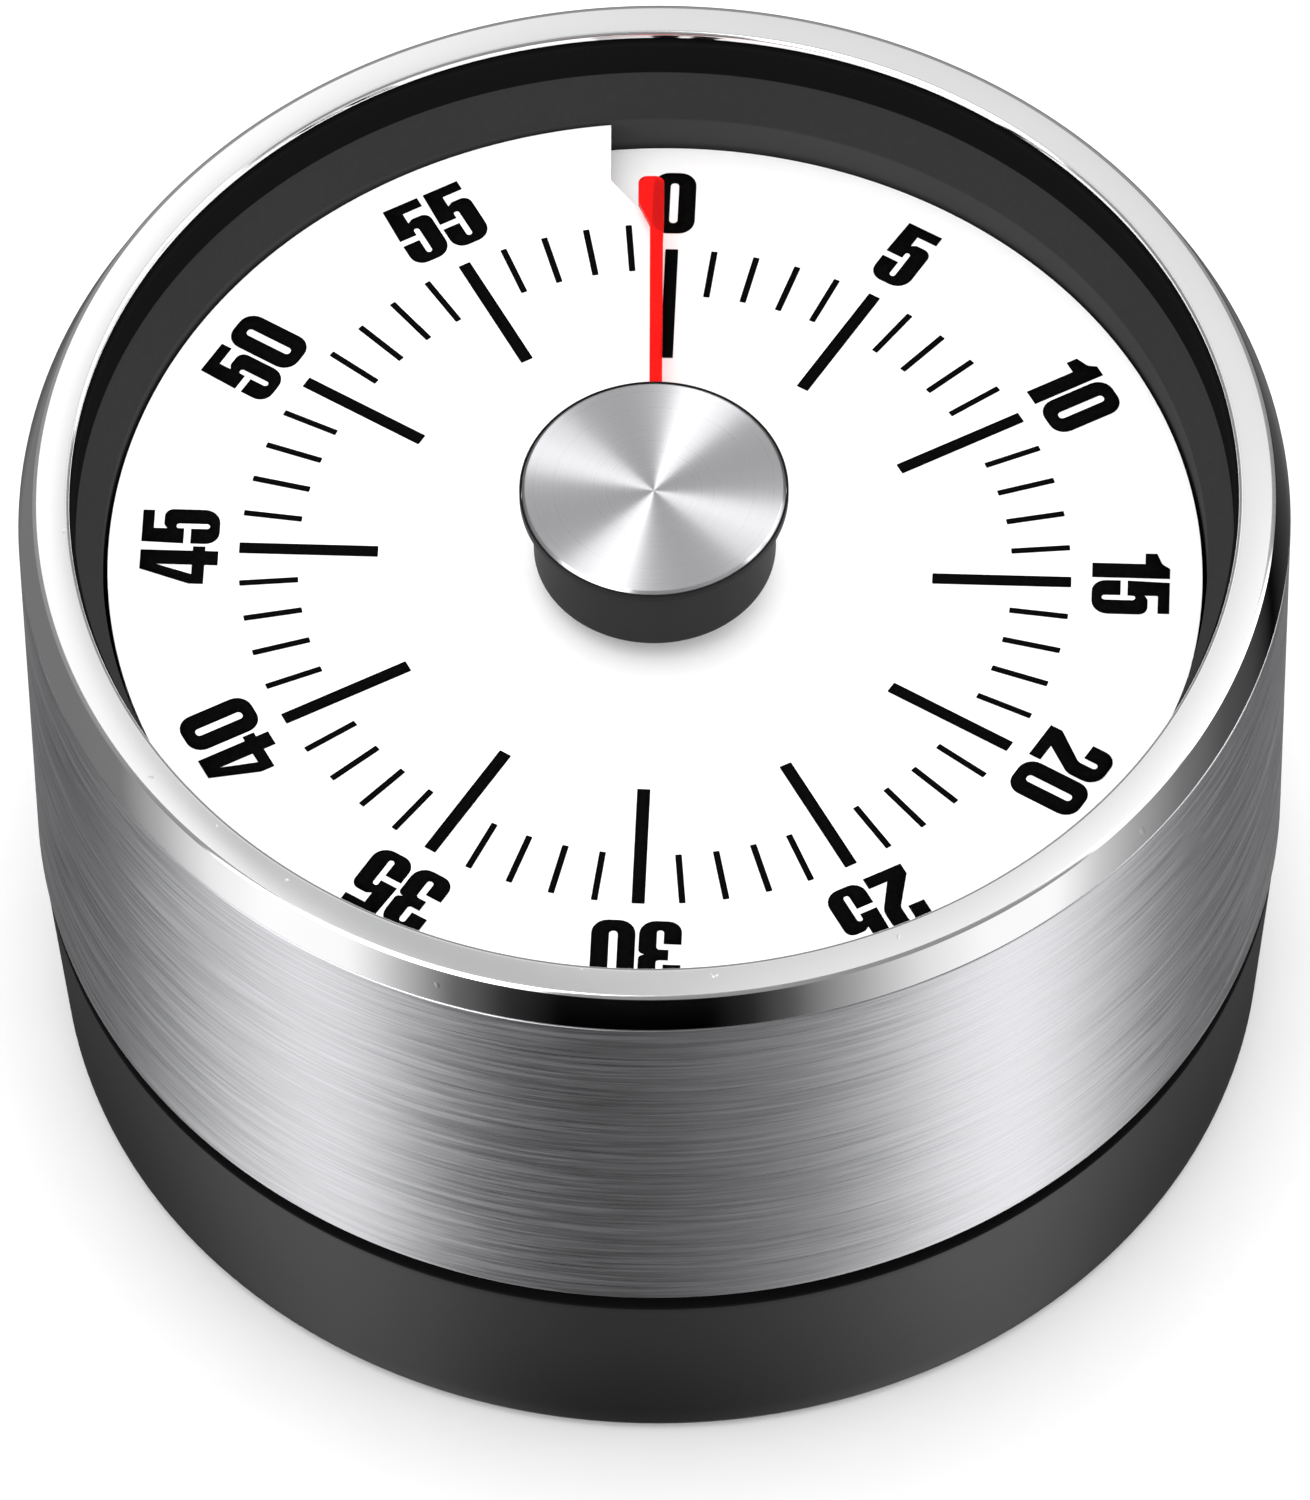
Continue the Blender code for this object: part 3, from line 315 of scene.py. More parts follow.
class Board:
    """A node tree on which a finish or the studio is laid out."""

    def __init__(self, tree):
        self.tree = tree

    def node(self, kind, settings=None, sockets=None, output=0):
        made = self.tree.nodes.new(kind)
        for name, value in (settings or {}).items():
            if name == "stops":
                ramp = made.color_ramp
                while len(ramp.elements) < len(value):
                    ramp.elements.new(0.5)
                for element, (place, level) in zip(ramp.elements, value):
                    element.position = place
                for element, (place, level) in zip(ramp.elements, value):
                    element.color = (level, level, level, 1.0)
            else:
                setattr(made, name, value)
        for name, value in (sockets or {}).items():
            self.feed(made.inputs[name], value)
        return Wire(self, made.outputs[output])

    def feed(self, socket, value):
        if isinstance(value, Wire):
            self.tree.links.new(value.socket, socket)
        else:
            socket.default_value = value

    def split(self, vector):
        return [self.node("ShaderNodeSeparateXYZ", None, {0: vector}, i) for i in range(3)]

    def reach(self, across, along):
        """How far the point (across, along) lies from the middle."""
        return self.node("ShaderNodeMath", {"operation": "SQRT"},
                         {0: across * across + along * along})

    def rise(self, value, start, end):
        """A soft step from 0 at the start to 1 at the end."""
        return self.node("ShaderNodeMapRange", {"interpolation_type": "SMOOTHSTEP"},
                         {"Value": value, "From Min": start, "From Max": end})

    def blend(self, factor, first, second):
        """A colour between two others."""
        return self.node("ShaderNodeMix", {"data_type": "RGBA"},
                         {0: factor, 6: first, 7: second}, 2)


class Finish(Board):
    """A Principled material whose patterns read the piece's own Object coordinates."""

    def __init__(self, name, **constants):
        self.material = bpy.data.materials.new(name)
        self.material.use_nodes = True
        super().__init__(self.material.node_tree)
        self.shader = self.tree.nodes["Principled BSDF"]
        self.place = self.node("ShaderNodeTexCoord", output=3)
        for socket, value in constants.items():
            self.shader.inputs[socket.replace("_", " ")].default_value = value

    def noise(self, scale, stretch=(1.0, 1.0, 1.0), detail=3.0, roughness=0.5):
        """Grain between 0 and 1; scale is in grains per metre, stretch weighs the axes."""
        spread = self.node("ShaderNodeMapping", None,
                           {"Vector": self.place, "Scale": stretch})
        return self.node("ShaderNodeTexNoise", None,
                         {"Vector": spread, "Scale": scale, "Detail": detail,
                          "Roughness": roughness})

    def paint(self, **sockets):
        for socket, value in sockets.items():
            self.feed(self.shader.inputs[socket.replace("_", " ")], value)
        return self.material

    def relief(self, height, depth):
        """A bump from a height pattern; depth is in millimetres."""
        self.feed(self.shader.inputs["Normal"],
                  self.node("ShaderNodeBump", None,
                            {"Height": height, "Distance": depth * MM, "Strength": 1.0}))


def grey(level, tint=(0.0, 0.0, 0.0)):
    return (level + tint[0], level + tint[1], level + tint[2], 1.0)


# %% [markdown]
# ## Finishes
# Brushed steel keeps fine scratches that run round the sleeve. They scatter light across
# themselves, so a lamp becomes an upright streak: that is the anisotropy, a constant, turned a
# quarter so that it is rough along the axis. Noise squeezed thin in height gives the
# single scratches their own tint, roughness and relief.


# %% Brushed steel for the sleeve
def brushed_steel():
    steel = Finish("brushed_steel_sleeve", Metallic=1.0, Anisotropic=0.75,
                   Anisotropic_Rotation=0.25)
    scratch = steel.noise(95.0, (1.0, 1.0, 44.0), 4.0, 0.6)
    hair = steel.noise(240.0, (1.0, 1.0, 45.0), 2.0)
    lines = steel.rise(scratch * 0.7 + hair * 0.3, 0.32, 0.68)
    steel.relief(lines, 0.004)
    return steel.paint(
        Base_Color=steel.blend(lines, (0.44, 0.44, 0.455, 1.0), (0.66, 0.66, 0.685, 1.0)),
        Roughness=0.26 + lines * 0.14)


def polished_steel():
    steel = Finish("polished_steel_rim", Metallic=1.0)
    smear = steel.noise(90.0, detail=4.0)
    speck = steel.rise(steel.noise(900.0, detail=2.0), 0.72, 0.8)
    steel.relief(speck, 0.004)
    return steel.paint(
        Base_Color=steel.blend(smear, (0.80, 0.80, 0.81, 1.0), (0.86, 0.86, 0.865, 1.0)),
        Roughness=0.05 + smear * 0.05 + speck * 0.1)


def spun_steel():
    steel = Finish("spun_steel_cap", Metallic=1.0, Anisotropic=0.97, Anisotropic_Rotation=0.25)
    x, y, _ = steel.split(steel.place)
    radius = steel.reach(x, y)
    groove = steel.node("ShaderNodeTexNoise", {"noise_dimensions": "1D"},
                        {"W": radius, "Scale": 9000.0, "Detail": 3.0})
    steel.relief(groove, 0.0002)
    return steel.paint(
        Base_Color=steel.blend(groove, (0.66, 0.66, 0.68, 1.0), (0.78, 0.78, 0.80, 1.0)),
        Roughness=0.26 + groove * 0.05)


# %% [markdown]
# The plastics are plain, but never flat: moulded plastic has a faint texture from its tool,
# which only shows where light grazes it, and handling leaves it a little uneven in gloss.


# %% Plastics, rubber and sheet
def moulded(name, dark, light, gloss, grain=2500.0, depth=0.004, **constants):
    plastic = Finish(name, **constants)
    tool = plastic.noise(grain, detail=2.0)
    touch = plastic.noise(70.0, detail=3.0)
    plastic.relief(tool, depth)
    return plastic.paint(Base_Color=plastic.blend(touch, dark, light),
                         Roughness=gloss + touch * 0.1 + tool * 0.05)


def base_grey(top_z):
    """Grey half-gloss shell with painted shade: darker towards its foot, and painted black above
    the given height, in the gap under the sleeve.
    """
    plastic = Finish("base_grey_plastic", Specular_IOR_Level=0.18)
    height = plastic.split(plastic.place)[2]
    # Painted shade: above the top of the wall the shell is painted black, for the shaded gap
    # under the sleeve.
    painted_gap_shade = plastic.rise(height, (top_z - 0.12) * MM, (top_z - 0.04) * MM)
    tool = plastic.noise(2500.0, detail=2.0)
    touch = plastic.noise(70.0, detail=3.0)
    plastic.relief(tool, 0.004)
    # Painted shade: the colour is painted darker towards the foot.
    satin_and_painted_shading = plastic.blend(plastic.rise(height, 0.0, top_z * MM) * 0.8 + touch * 0.2,
                          grey(0.004), grey(0.016))
    return plastic.paint(Base_Color=plastic.blend(painted_gap_shade, satin_and_painted_shading, grey(0.001)),
                         Roughness=0.36 + touch * 0.1 + painted_gap_shade * 0.4)


CONE_DROP = 2.8                       # from the foot of the upright band to the dial wall


def well_black(band_z):
    """Painted shade makes the upright face under the rim near black; the cone is half-gloss
    grey; painted light makes the drop to the dial a little paler.
    """
    plastic = Finish("well_black_plastic", Specular_IOR_Level=0.0)
    height = plastic.split(plastic.place)[2]
    # Painted shade: the upright band under the rim is painted near black.
    painted_shade_band = plastic.rise(height, (band_z - 0.04) * MM, (band_z + 0.04) * MM)
    tool = plastic.noise(2500.0, detail=2.0)
    plastic.relief(tool, 0.003)
    # Painted light: below the cone the wall is painted a little paler.
    painted_light_wall = 1 - plastic.rise(height, (band_z - CONE_DROP - 0.1) * MM,
                            (band_z - CONE_DROP + 0.1) * MM)
    satin_and_painted_shading = plastic.blend(tool, grey(0.026), grey(0.031))
    satin_and_painted_shading = plastic.blend(painted_light_wall, satin_and_painted_shading, grey(0.046))
    return plastic.paint(Base_Color=plastic.blend(painted_shade_band, satin_and_painted_shading, grey(0.006)),
                         Roughness=0.42 + painted_shade_band * 0.1 + tool * 0.06)


def dial_white():
    sheet = Finish("dial_white_print")
    peel = sheet.noise(600.0, detail=2.0)
    sheet.relief(peel, 0.002)
    return sheet.paint(Base_Color=sheet.blend(peel, grey(0.86), grey(0.90)),
                       Roughness=0.42 + peel * 0.1)


def ink_black():
    ink = Finish("dial_black_ink", Specular_IOR_Level=0.0)
    screen = ink.noise(4000.0, detail=2.0)
    ink.relief(screen, 0.001)
    return ink.paint(Base_Color=ink.blend(screen, grey(0.001), grey(0.004)),
                     Roughness=0.62 + screen * 0.1)


def clear_red(name, see_through, thick, painted_shade_radius=0.0):
    """Clear red sheet; inside the given radius the skirt hides it, and there it is painted black
    as shade under the knob.
    """
    red = Finish(name, Transmission_Weight=see_through, IOR=1.15, Specular_IOR_Level=0.0)
    haze = red.noise(500.0, detail=2.0)
    x, y, _ = red.split(red.place)
    # Painted shade: inside the radius under the skirt the sheet is painted black.
    clear = red.rise(red.reach(x, y), (painted_shade_radius - 0.1) * MM, painted_shade_radius * MM)
    tint = red.blend(haze, (0.93, 0.004, 0.003, 1.0), thick)
    return red.paint(Base_Color=red.blend(clear, grey(0.004), tint),
                     Roughness=0.16 + haze * 0.08)


# %% [markdown]
# The clockwork is never polished like the case. Stamped brass wheels keep a rolled grain,
# nickel-plated steel is brighter and bluer, and the springs are tempered dark.


# %% Metals of the clockwork
def rolled(name, dull, bright, rough, stretch=(1.0, 14.0, 1.0)):
    metal = Finish(name, Metallic=1.0)
    grain = metal.noise(120.0, stretch, 4.0, 0.6)
    stain = metal.noise(45.0, detail=3.0)
    metal.relief(grain, 0.003)
    return metal.paint(Base_Color=metal.blend(grain * 0.6 + stain * 0.4, dull, bright),
                       Roughness=rough + grain * 0.12)


BAND_Z = RIM_Z - 3.57                 # foot of the well's upright band
SHADOW_GAP = 0.9                      # height of the black line under the sleeve, in the CAD
steel_brushed, steel_polished, steel_spun = brushed_steel(), polished_steel(), spun_steel()
BASE_TOP = low("steel_sleeve").z - SHADOW_GAP
plastic_base = base_grey(BASE_TOP)
plastic_knob = moulded("knob_grey_plastic", grey(0.017), grey(0.020), 0.45,
                       Specular_IOR_Level=0.06)
plastic_black = moulded("inner_black_plastic", grey(0.003), grey(0.006), 0.5,
                        Specular_IOR_Level=0.15)
plastic_well = well_black(BAND_Z)
paint_dial, paint_ink = dial_white(), ink_black()
# Inside this radius the knob hides the arm, and the arm is painted black there as shade.
SHADE_UNDER_SKIRT = 7.6                     # radius inside which the knob hides the arm
red_pointer = clear_red("pointer_clear_red", 0.72, (1.0, 0.012, 0.008, 1.0), SHADE_UNDER_SKIRT)
red_film = clear_red("disc_red_film", 0.12, (0.80, 0.006, 0.004, 1.0))
rubber = moulded("foot_rubber", grey(0.012), grey(0.02), 0.7, 1200.0, 0.01)
nylon = moulded("hub_nylon", (0.62, 0.60, 0.54, 1.0), (0.70, 0.68, 0.62, 1.0), 0.45)
nickel = rolled("magnet_nickel", grey(0.52), grey(0.62), 0.22)
brass = rolled("clockwork_brass", (0.50, 0.33, 0.11, 1.0), (0.68, 0.49, 0.20, 1.0), 0.26)
plated = rolled("clockwork_plated_steel", grey(0.42), (0.56, 0.56, 0.58, 1.0), 0.24)
tempered = rolled("spring_tempered_steel", (0.10, 0.11, 0.16, 1.0), (0.22, 0.23, 0.30, 1.0),
                  0.28)
FAMILIES = {
    "black_plastic": plastic_black, "grey_plastic": plastic_base, "white_dial": paint_dial,
    "brushed_steel": steel_brushed, "polished_steel": steel_polished, "red_plastic": red_film,
    "rubber": rubber, "magnet": nickel, "brass": brass, "plated_steel": plated,
    "spring_steel": tempered, "nylon": nylon}
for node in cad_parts.values():
    for place in node.material_slots:
        family = place.material.name.split(".")[0]
        place.material = FAMILIES.get(family, plated)
print("finishes:", len(bpy.data.materials))

# %% [markdown]
# ## The case
# The sleeve is a rolled and brushed steel tube with a small inward lip at its foot. Its top
# edge is just broken, and that edge is what catches the thin bright line under the rim.

# %% Steel sleeve
SLEEVE_FOOT = low("steel_sleeve").z + 0.5
SLEEVE_TOP = CHAMFER_FOOT - 0.05
SLEEVE_WALL, FOOT_LIP = 0.7, 2.1
sleeve = turned("brushed_sleeve", [
    (CASE_R - FOOT_LIP, SLEEVE_FOOT, 0.05), (CASE_R, SLEEVE_FOOT, 0.14),
    (CASE_R, SLEEVE_FOOT + 0.6, 0), (CASE_R, SLEEVE_TOP - 0.6, 0), (CASE_R, SLEEVE_TOP, 0.1),
    (CASE_R - SLEEVE_WALL, SLEEVE_TOP, 0.05),
    (CASE_R - SLEEVE_WALL, SLEEVE_FOOT + SLEEVE_WALL, 0.1),
    (CASE_R - FOOT_LIP, SLEEVE_FOOT + SLEEVE_WALL, 0.05)], 256)
coat(sleeve, steel_brushed)
fit(sleeve, "case", "brushed_steel", "steel_sleeve")

# %% [markdown]
# The rim is one polished ring: a flat face with a slight crown, a steep chamfer that mirrors
# the room, and a skirt that presses into the sleeve. The face could be left flat, but a dead
# flat ring reflects a single tone; a crown of a few microns lets the tone drift.

# %% Polished rim
CROWN = 0.006
crowned_face = [(RIM_OUT + (RIM_IN - RIM_OUT) * i / 8, RIM_Z - CROWN * (i / 4 - 1) ** 2, 0.0)
                for i in range(1, 8)]
RIM_SKIRT_OUT, RIM_SKIRT_WALL = high("bezel_ring").x - 1.0, 0.7
RIM_SKIRT_FOOT, RIM_UNDER = low("bezel_ring").z, RIM_Z - 0.5
rim = turned("polished_rim", [
    (RIM_IN, RIM_UNDER, 0.05), (RIM_SKIRT_OUT - RIM_SKIRT_WALL, RIM_UNDER, 0.1),
    (RIM_SKIRT_OUT - RIM_SKIRT_WALL, RIM_SKIRT_FOOT, 0.1), (RIM_SKIRT_OUT, RIM_SKIRT_FOOT, 0.1),
    (RIM_SKIRT_OUT, CHAMFER_FOOT, 0.05), (CASE_R, CHAMFER_FOOT, 0.06),
    (RIM_OUT, RIM_Z - CROWN, 0.22), *crowned_face, (RIM_IN, RIM_Z - CROWN, 0.14)], 256)
coat(rim, steel_polished)
fit(rim, "case", "polished_steel", "bezel_ring")

# %% [markdown]
# The base is moulded in dark grey, drawn in slightly towards its foot, with a soft lower edge
# and a spigot that stands up inside the sleeve. Its colour carries painted shade: darker towards
# the foot, and black on the spigot and the ledge, which show as the black line. Underneath it
# has three screw wells, three magnet pockets, a groove for the foot ring and slits for the bell.
# The groove runs all round, so it is drawn in the outline; the rest is cut afterwards.

# %% Moulded base
FOOT_FACE = low("base_shell").z
SPIGOT_R = CASE_R - 1.0
DRAFT = 0.97                          # how far the wall leans in towards the foot


def wall_r(z):
    return BASE_R - DRAFT * (BASE_TOP - z) / (BASE_TOP - FOOT_FACE)


SPIGOT_TOP, SPIGOT_WALL, FLOOR_T = BASE_TOP + 0.6, 1.6, 2.4
GROOVE_IN, GROOVE_OUT, GROOVE_DEPTH = 25.2, 28.8, 0.8
base = turned("moulded_base", [
    (0.0, FOOT_FACE, 0), (GROOVE_IN, FOOT_FACE, 0.08),
    (GROOVE_IN, FOOT_FACE + GROOVE_DEPTH, 0.05), (GROOVE_OUT, FOOT_FACE + GROOVE_DEPTH, 0.05),
    (GROOVE_OUT, FOOT_FACE, 0.08), (BASE_R - DRAFT, FOOT_FACE, 0.7),
    (wall_r(FOOT_FACE + 2.0), FOOT_FACE + 2.0, 0), (wall_r(BASE_TOP - 0.5), BASE_TOP - 0.5, 0),
    (BASE_R, BASE_TOP, 0.12), (SPIGOT_R, BASE_TOP, 0.04), (SPIGOT_R, SPIGOT_TOP, 0.04),
    (SPIGOT_R - SPIGOT_WALL, SPIGOT_TOP, 0.05),
    (SPIGOT_R - SPIGOT_WALL, FOOT_FACE + FLOOR_T, 0.3), (0.0, FOOT_FACE + FLOOR_T, 0)], 224)

# %% Holes in the base
BELOW = -1.0                          # the cutting tools start under the foot


def middles(node):
    """The middles of three numbered nodes, seen from above."""
    return [(low(f"{node}_{i}") + high(f"{node}_{i}")) / 2 for i in (1, 2, 3)]


def round_tool(name, foot_r, top_r, bottom, top, rounding, steps):
    return turned(name, [(0.0, bottom, 0), (foot_r, bottom, 0), (top_r, top, rounding),
                         (0.0, top, 0)], steps)


screw_place, magnet_place = middles("case_screw"), middles("magnet")
# radius at the foot and at the top, lowest and highest point, rounding, steps
well = round_tool("screw_well", 2.3, 2.2, BELOW, 3.3, 0.05, 40)
pocket = round_tool("magnet_pocket", 6.3, 6.3, BELOW, 2.3, 0.1, 64)
boss = round_tool("screw_boss", 2.6, 2.6, 2.0, 5.3, 0.1, 40)
bore = round_tool("screw_bore", 1.2, 1.2, 3.0, 6.0, 0, 24)
for at in screw_place:
    raised = copy_at(boss, "boss", at.x, at.y)
    apply(base, "BOOLEAN", operation="UNION", solver="EXACT", object=raised)
    discard(raised)
tools = []
for at in screw_place:
    tools += [copy_at(well, "well", at.x, at.y), copy_at(bore, "bore", at.x, at.y)]
tools += [copy_at(pocket, "pocket", at.x, at.y) for at in magnet_place]
SLITS, SLIT_STEP, SLIT_HALF_WIDTH, SLIT_HALF_LENGTH = 5, 2.2, 0.5, 4.0
for i in range(-(SLITS // 2), SLITS // 2 + 1):
    half, x = SLIT_HALF_LENGTH - abs(i) * 0.8, i * SLIT_STEP
    left, right = x - SLIT_HALF_WIDTH, x + SLIT_HALF_WIDTH
    tools.append(cut_sheet("slit", [[(left, -half, 0.48), (right, -half, 0.48),
                                     (right, half, 0.48), (left, half, 0.48)]], BELOW, 4.0))
cut(base, *tools)
discard(well, pocket, boss, bore)
coat(base, plastic_base)
fit(base, "case", "grey_plastic", "base_shell")
print("base cut:", len(base.data.polygons), "faces")

# %% [markdown]
# The foot ring is a soft extrusion set in the groove, with two shallow grooves of its own that
# grip the table. Magnets and screws are modelled once and copied to their three places.

# %% Foot ring, magnets and screws
FOOT_IN, FOOT_OUT = high("foot_ring").x - 3.0, high("foot_ring").x
FOOT_TOP = high("foot_ring").z
foot = turned("rubber_foot", [
    (FOOT_IN, 0.0, 0.25), (FOOT_IN + 0.8, 0.0, 0.08), (FOOT_IN + 1.0, 0.25, 0.05),
    (FOOT_IN + 1.2, 0.0, 0.08), (FOOT_IN + 1.8, 0.0, 0.08), (FOOT_IN + 2.0, 0.25, 0.05),
    (FOOT_IN + 2.2, 0.0, 0.08), (FOOT_OUT, 0.0, 0.25), (FOOT_OUT, FOOT_TOP, 0.05),
    (FOOT_IN, FOOT_TOP, 0.05)], 160)
coat(foot, rubber)
fit(foot, "case", "rubber", "foot_ring")

magnet_r = (high("magnet_1") - low("magnet_1")).x / 2
disc = turned("magnet_disc", [
    (0.0, low("magnet_1").z, 0), (magnet_r, low("magnet_1").z, 0.2),
    (magnet_r, high("magnet_1").z, 0.2), (0.0, high("magnet_1").z, 0)], 72)
coat(disc, nickel)
screw_low, screw_top = low("case_screw_1").z, high("case_screw_1").z
HEAD_R, HEAD_H, SHANK_R = 1.9, 1.1, 0.9
screw = turned("pan_screw", [
    (0.0, screw_low, 0), (1.35, screw_low, 0.3), (HEAD_R, screw_low + 0.45, 0.2),
    (HEAD_R, screw_low + HEAD_H, 0.05), (SHANK_R, screw_low + HEAD_H, 0.05),
    (SHANK_R, screw_top - 0.9, 0.05), (SHANK_R / 2, screw_top, 0.1), (0.0, screw_top, 0)], 48)
CROSS_REACH, CROSS_HALF, CROSS_DEPTH = 1.25, 0.2, 0.55
cut(screw,
    block("slot_a", -CROSS_REACH, CROSS_REACH, -CROSS_HALF, CROSS_HALF,
          screw_low - 0.5, screw_low + CROSS_DEPTH),
    block("slot_b", -CROSS_HALF, CROSS_HALF, -CROSS_REACH, CROSS_REACH,
          screw_low - 0.5, screw_low + CROSS_DEPTH))
coat(screw, plated)
for i in range(3):
    fit(copy_at(disc, f"magnet_disc_{i + 1}", magnet_place[i].x, magnet_place[i].y), "case",
        "magnet", f"magnet_{i + 1}")
    fit(copy_at(screw, f"pan_screw_{i + 1}", screw_place[i].x, screw_place[i].y, 25.0 + 40 * i),
        "case", "plated_steel", f"case_screw_{i + 1}")
discard(disc, screw)

# %% [markdown]
# Inside the rim the well steps down: an upright band painted near black as shade, a cone, and a
# wall that drops past the edge of the dial, painted a little paler as light, so that the dial
# seems to float in it.

# %% Well ring
well_top, well_foot, well_out = high("well_ring").z, low("well_ring").z, high("well_ring").x
WELL_STEP_Z = 40.7                    # where its hidden side turns outward under the rim
well_ring = turned("stepped_well", [
    (WELL_R, well_foot, 0.05), (WELL_R + 1.2, well_foot, 0.05), (WELL_R + 1.2, WELL_STEP_Z, 0.1),
    (well_out - 0.6, low("bezel_ring").z - 0.1, 0.1), (well_out, low("bezel_ring").z, 0.1),
    (well_out, well_top, 0.05), (RIM_IN - 0.26, well_top, 0.12),
    (RIM_IN - 0.26, BAND_Z, 0.05), (WELL_R, BAND_Z - CONE_DROP, 0.08)], 224)
coat(well_ring, plastic_well)
fit(well_ring, "case", "black_plastic", "well_ring")

# %% [markdown]
# ## The dial
# The dial is one turn of a helix, like a washer that is cut and sprung open, so that the red
# disc can come out of the step at zero. A Screw modifier winds it from a single radial edge:
# it could be lofted from sections, but the modifier gives an exact helix from two numbers.
# The raised end is then notched, for the tip of the pointer to pass, and the tongue that runs
# on under it is trimmed back at its rim.


# %% Helical sheets
def dial_height(degrees):
    return DIAL_LOW + DIAL_RISE * degrees / 360.0


def helix(name, inner, outer, start, end, height, thickness, steps):
    """A helical sheet between two dial angles; height gives its top face in millimetres."""
    piece = fresh(name)
    turn = math.radians(90.0 - start)
    near = Vector((inner * math.cos(turn), inner * math.sin(turn), height(start))) * MM
    far = Vector((outer * math.cos(turn), outer * math.sin(turn), height(start))) * MM
    bpy.ops.transform.translate(value=near)
    bpy.ops.mesh.extrude_region_move(TRANSFORM_OT_translate={"value": far - near})
    bpy.ops.object.mode_set(mode="OBJECT")
    apply(piece, "SCREW", angle=-math.radians(end - start), steps=steps, render_steps=steps,
          screw_offset=(height(end) - height(start)) * MM, use_merge_vertices=False,
          use_smooth_shade=True)
    if piece.data.polygons[0].normal.z < 0:
        bpy.ops.object.mode_set(mode="EDIT")
        bpy.ops.mesh.select_all(action="SELECT")
        bpy.ops.mesh.flip_normals()
        bpy.ops.object.mode_set(mode="OBJECT")
    apply(piece, "SOLIDIFY", thickness=thickness * MM, offset=-1.0)
    return smooth(piece)


TONGUE, DIAL_END = 12.0, 359.3        # degrees before zero, and where the raised end stops
DIAL_HOLE_R = 5.0
dial = helix("helical_dial", DIAL_HOLE_R, DIAL_R, -TONGUE, DIAL_END, dial_height, DIAL_T, 288)


def polar(radius, degrees):
    """An unrounded corner at a dial angle, clockwise from zero."""
    turn = math.radians(degrees)
    return (radius * math.sin(turn), radius * math.cos(turn), 0)


NOTCH_FOOT, NOTCH_SHOULDER, NOTCH_LEFT = DISC_R + 0.2, DISC_R + 3.6, -2.9
BETWEEN = DIAL_LOW + 0.8              # a height over the tongue and under the raised end
notch = cut_sheet("notch", [[
    (0.6, NOTCH_FOOT, 0), (-0.35, NOTCH_FOOT, 0), (NOTCH_LEFT, NOTCH_SHOULDER, 0.15),
    (NOTCH_LEFT, DIAL_R + 1.0, 0), (0.6, DIAL_R + 1.0, 0)]], BETWEEN, DIAL_HIGH + 1.0)
TRIM_IN, TRIM_OUT = 31.9, 35.0
trim = cut_sheet("trim", [
    [polar(TRIM_IN, -a) for a in (6.5, 8.0, 9.5, 11.0, 13.5)]
    + [polar(TRIM_OUT, -a) for a in (13.5, 6.5)]], DIAL_LOW - 1.5, BETWEEN)
cut(dial, notch, trim)
coat(dial, paint_dial)
fit(dial, "case", "white_dial", "dial")
print("dial wound:", len(dial.data.polygons), "faces")

# %% [markdown]
# The minute marks and numerals are screen-printed. Each is drawn flat above the dial, dropped
# on to it with Shrinkwrap, and given the thickness of a coat of ink. The numerals are a heavy
# condensed face with narrow counters. Each digit is one outline, a unit tall, whose
# corners carry their own rounding, so that no font is needed.

# %% Digit outlines
DIGITS = {
    "0": [[(0, 0, .21), (.56, 0, .21), (.56, 1, .21), (0, 1, .21)],
          [(.225, .17, .05), (.335, .17, .05), (.335, .83, .05), (.225, .83, .05)]],
    "1": [[(.17, 0, 0), (.40, 0, 0), (.40, 1, 0), (.24, 1, 0), (.17, .90, .12),
           (0, .83, 0), (0, .68, 0), (.17, .68, 0)]],
    "2": [[(0, 0, 0), (.54, 0, 0), (.54, .17, 0), (.28, .17, 0), (.54, .56, .22),
           (.54, 1, .22), (0, 1, .22), (0, .63, 0), (.225, .63, 0), (.225, .85, .05),
           (.315, .85, .05), (.315, .60, .12), (0, .17, 0)]],
    "3": [[(0, 0, .21), (.54, 0, .21), (.54, .49, .12), (.46, .52, 0), (.54, .55, .12),
           (.54, 1, .21), (0, 1, .21), (0, .67, 0), (.225, .67, 0), (.225, .86, .04),
           (.315, .86, .04), (.315, .60, .04), (.16, .60, 0), (.16, .44, 0),
           (.315, .44, .04), (.315, .14, .04), (.225, .14, .04), (.225, .35, 0),
           (0, .35, 0)]],
    "4": [[(.30, 0, 0), (.52, 0, 0), (.52, .17, 0), (.59, .17, 0), (.59, .33, 0),
           (.52, .33, 0), (.52, 1, 0), (.22, 1, 0), (0, .36, 0), (0, .17, 0),
           (.30, .17, 0)],
          [(.15, .33, 0), (.30, .33, 0), (.30, .80, 0)]],
    "5": [[(0, 0, .21), (.54, 0, .21), (.54, .72, .19), (.30, .72, .05), (.235, .68, 0),
           (.235, .85, 0), (.52, .85, 0), (.52, 1, 0), (.02, 1, 0), (0, .46, 0),
           (.24, .46, 0), (.24, .56, .03), (.315, .56, .04), (.315, .13, .04),
           (.235, .13, .04), (.235, .37, 0), (0, .37, 0)]]}
WIDTHS = {digit: max(x for x, y, r in loops[0]) for digit, loops in DIGITS.items()}
NUMERAL_R, NUMERAL_H, DIGIT_GAP = 26.9, 4.8, 0.045
PRINT_TURN = 2.06        # the printed scale starts this far past the step, clockwise
DRAW_Z = DIAL_HIGH + 2.0
INK_T = 0.02


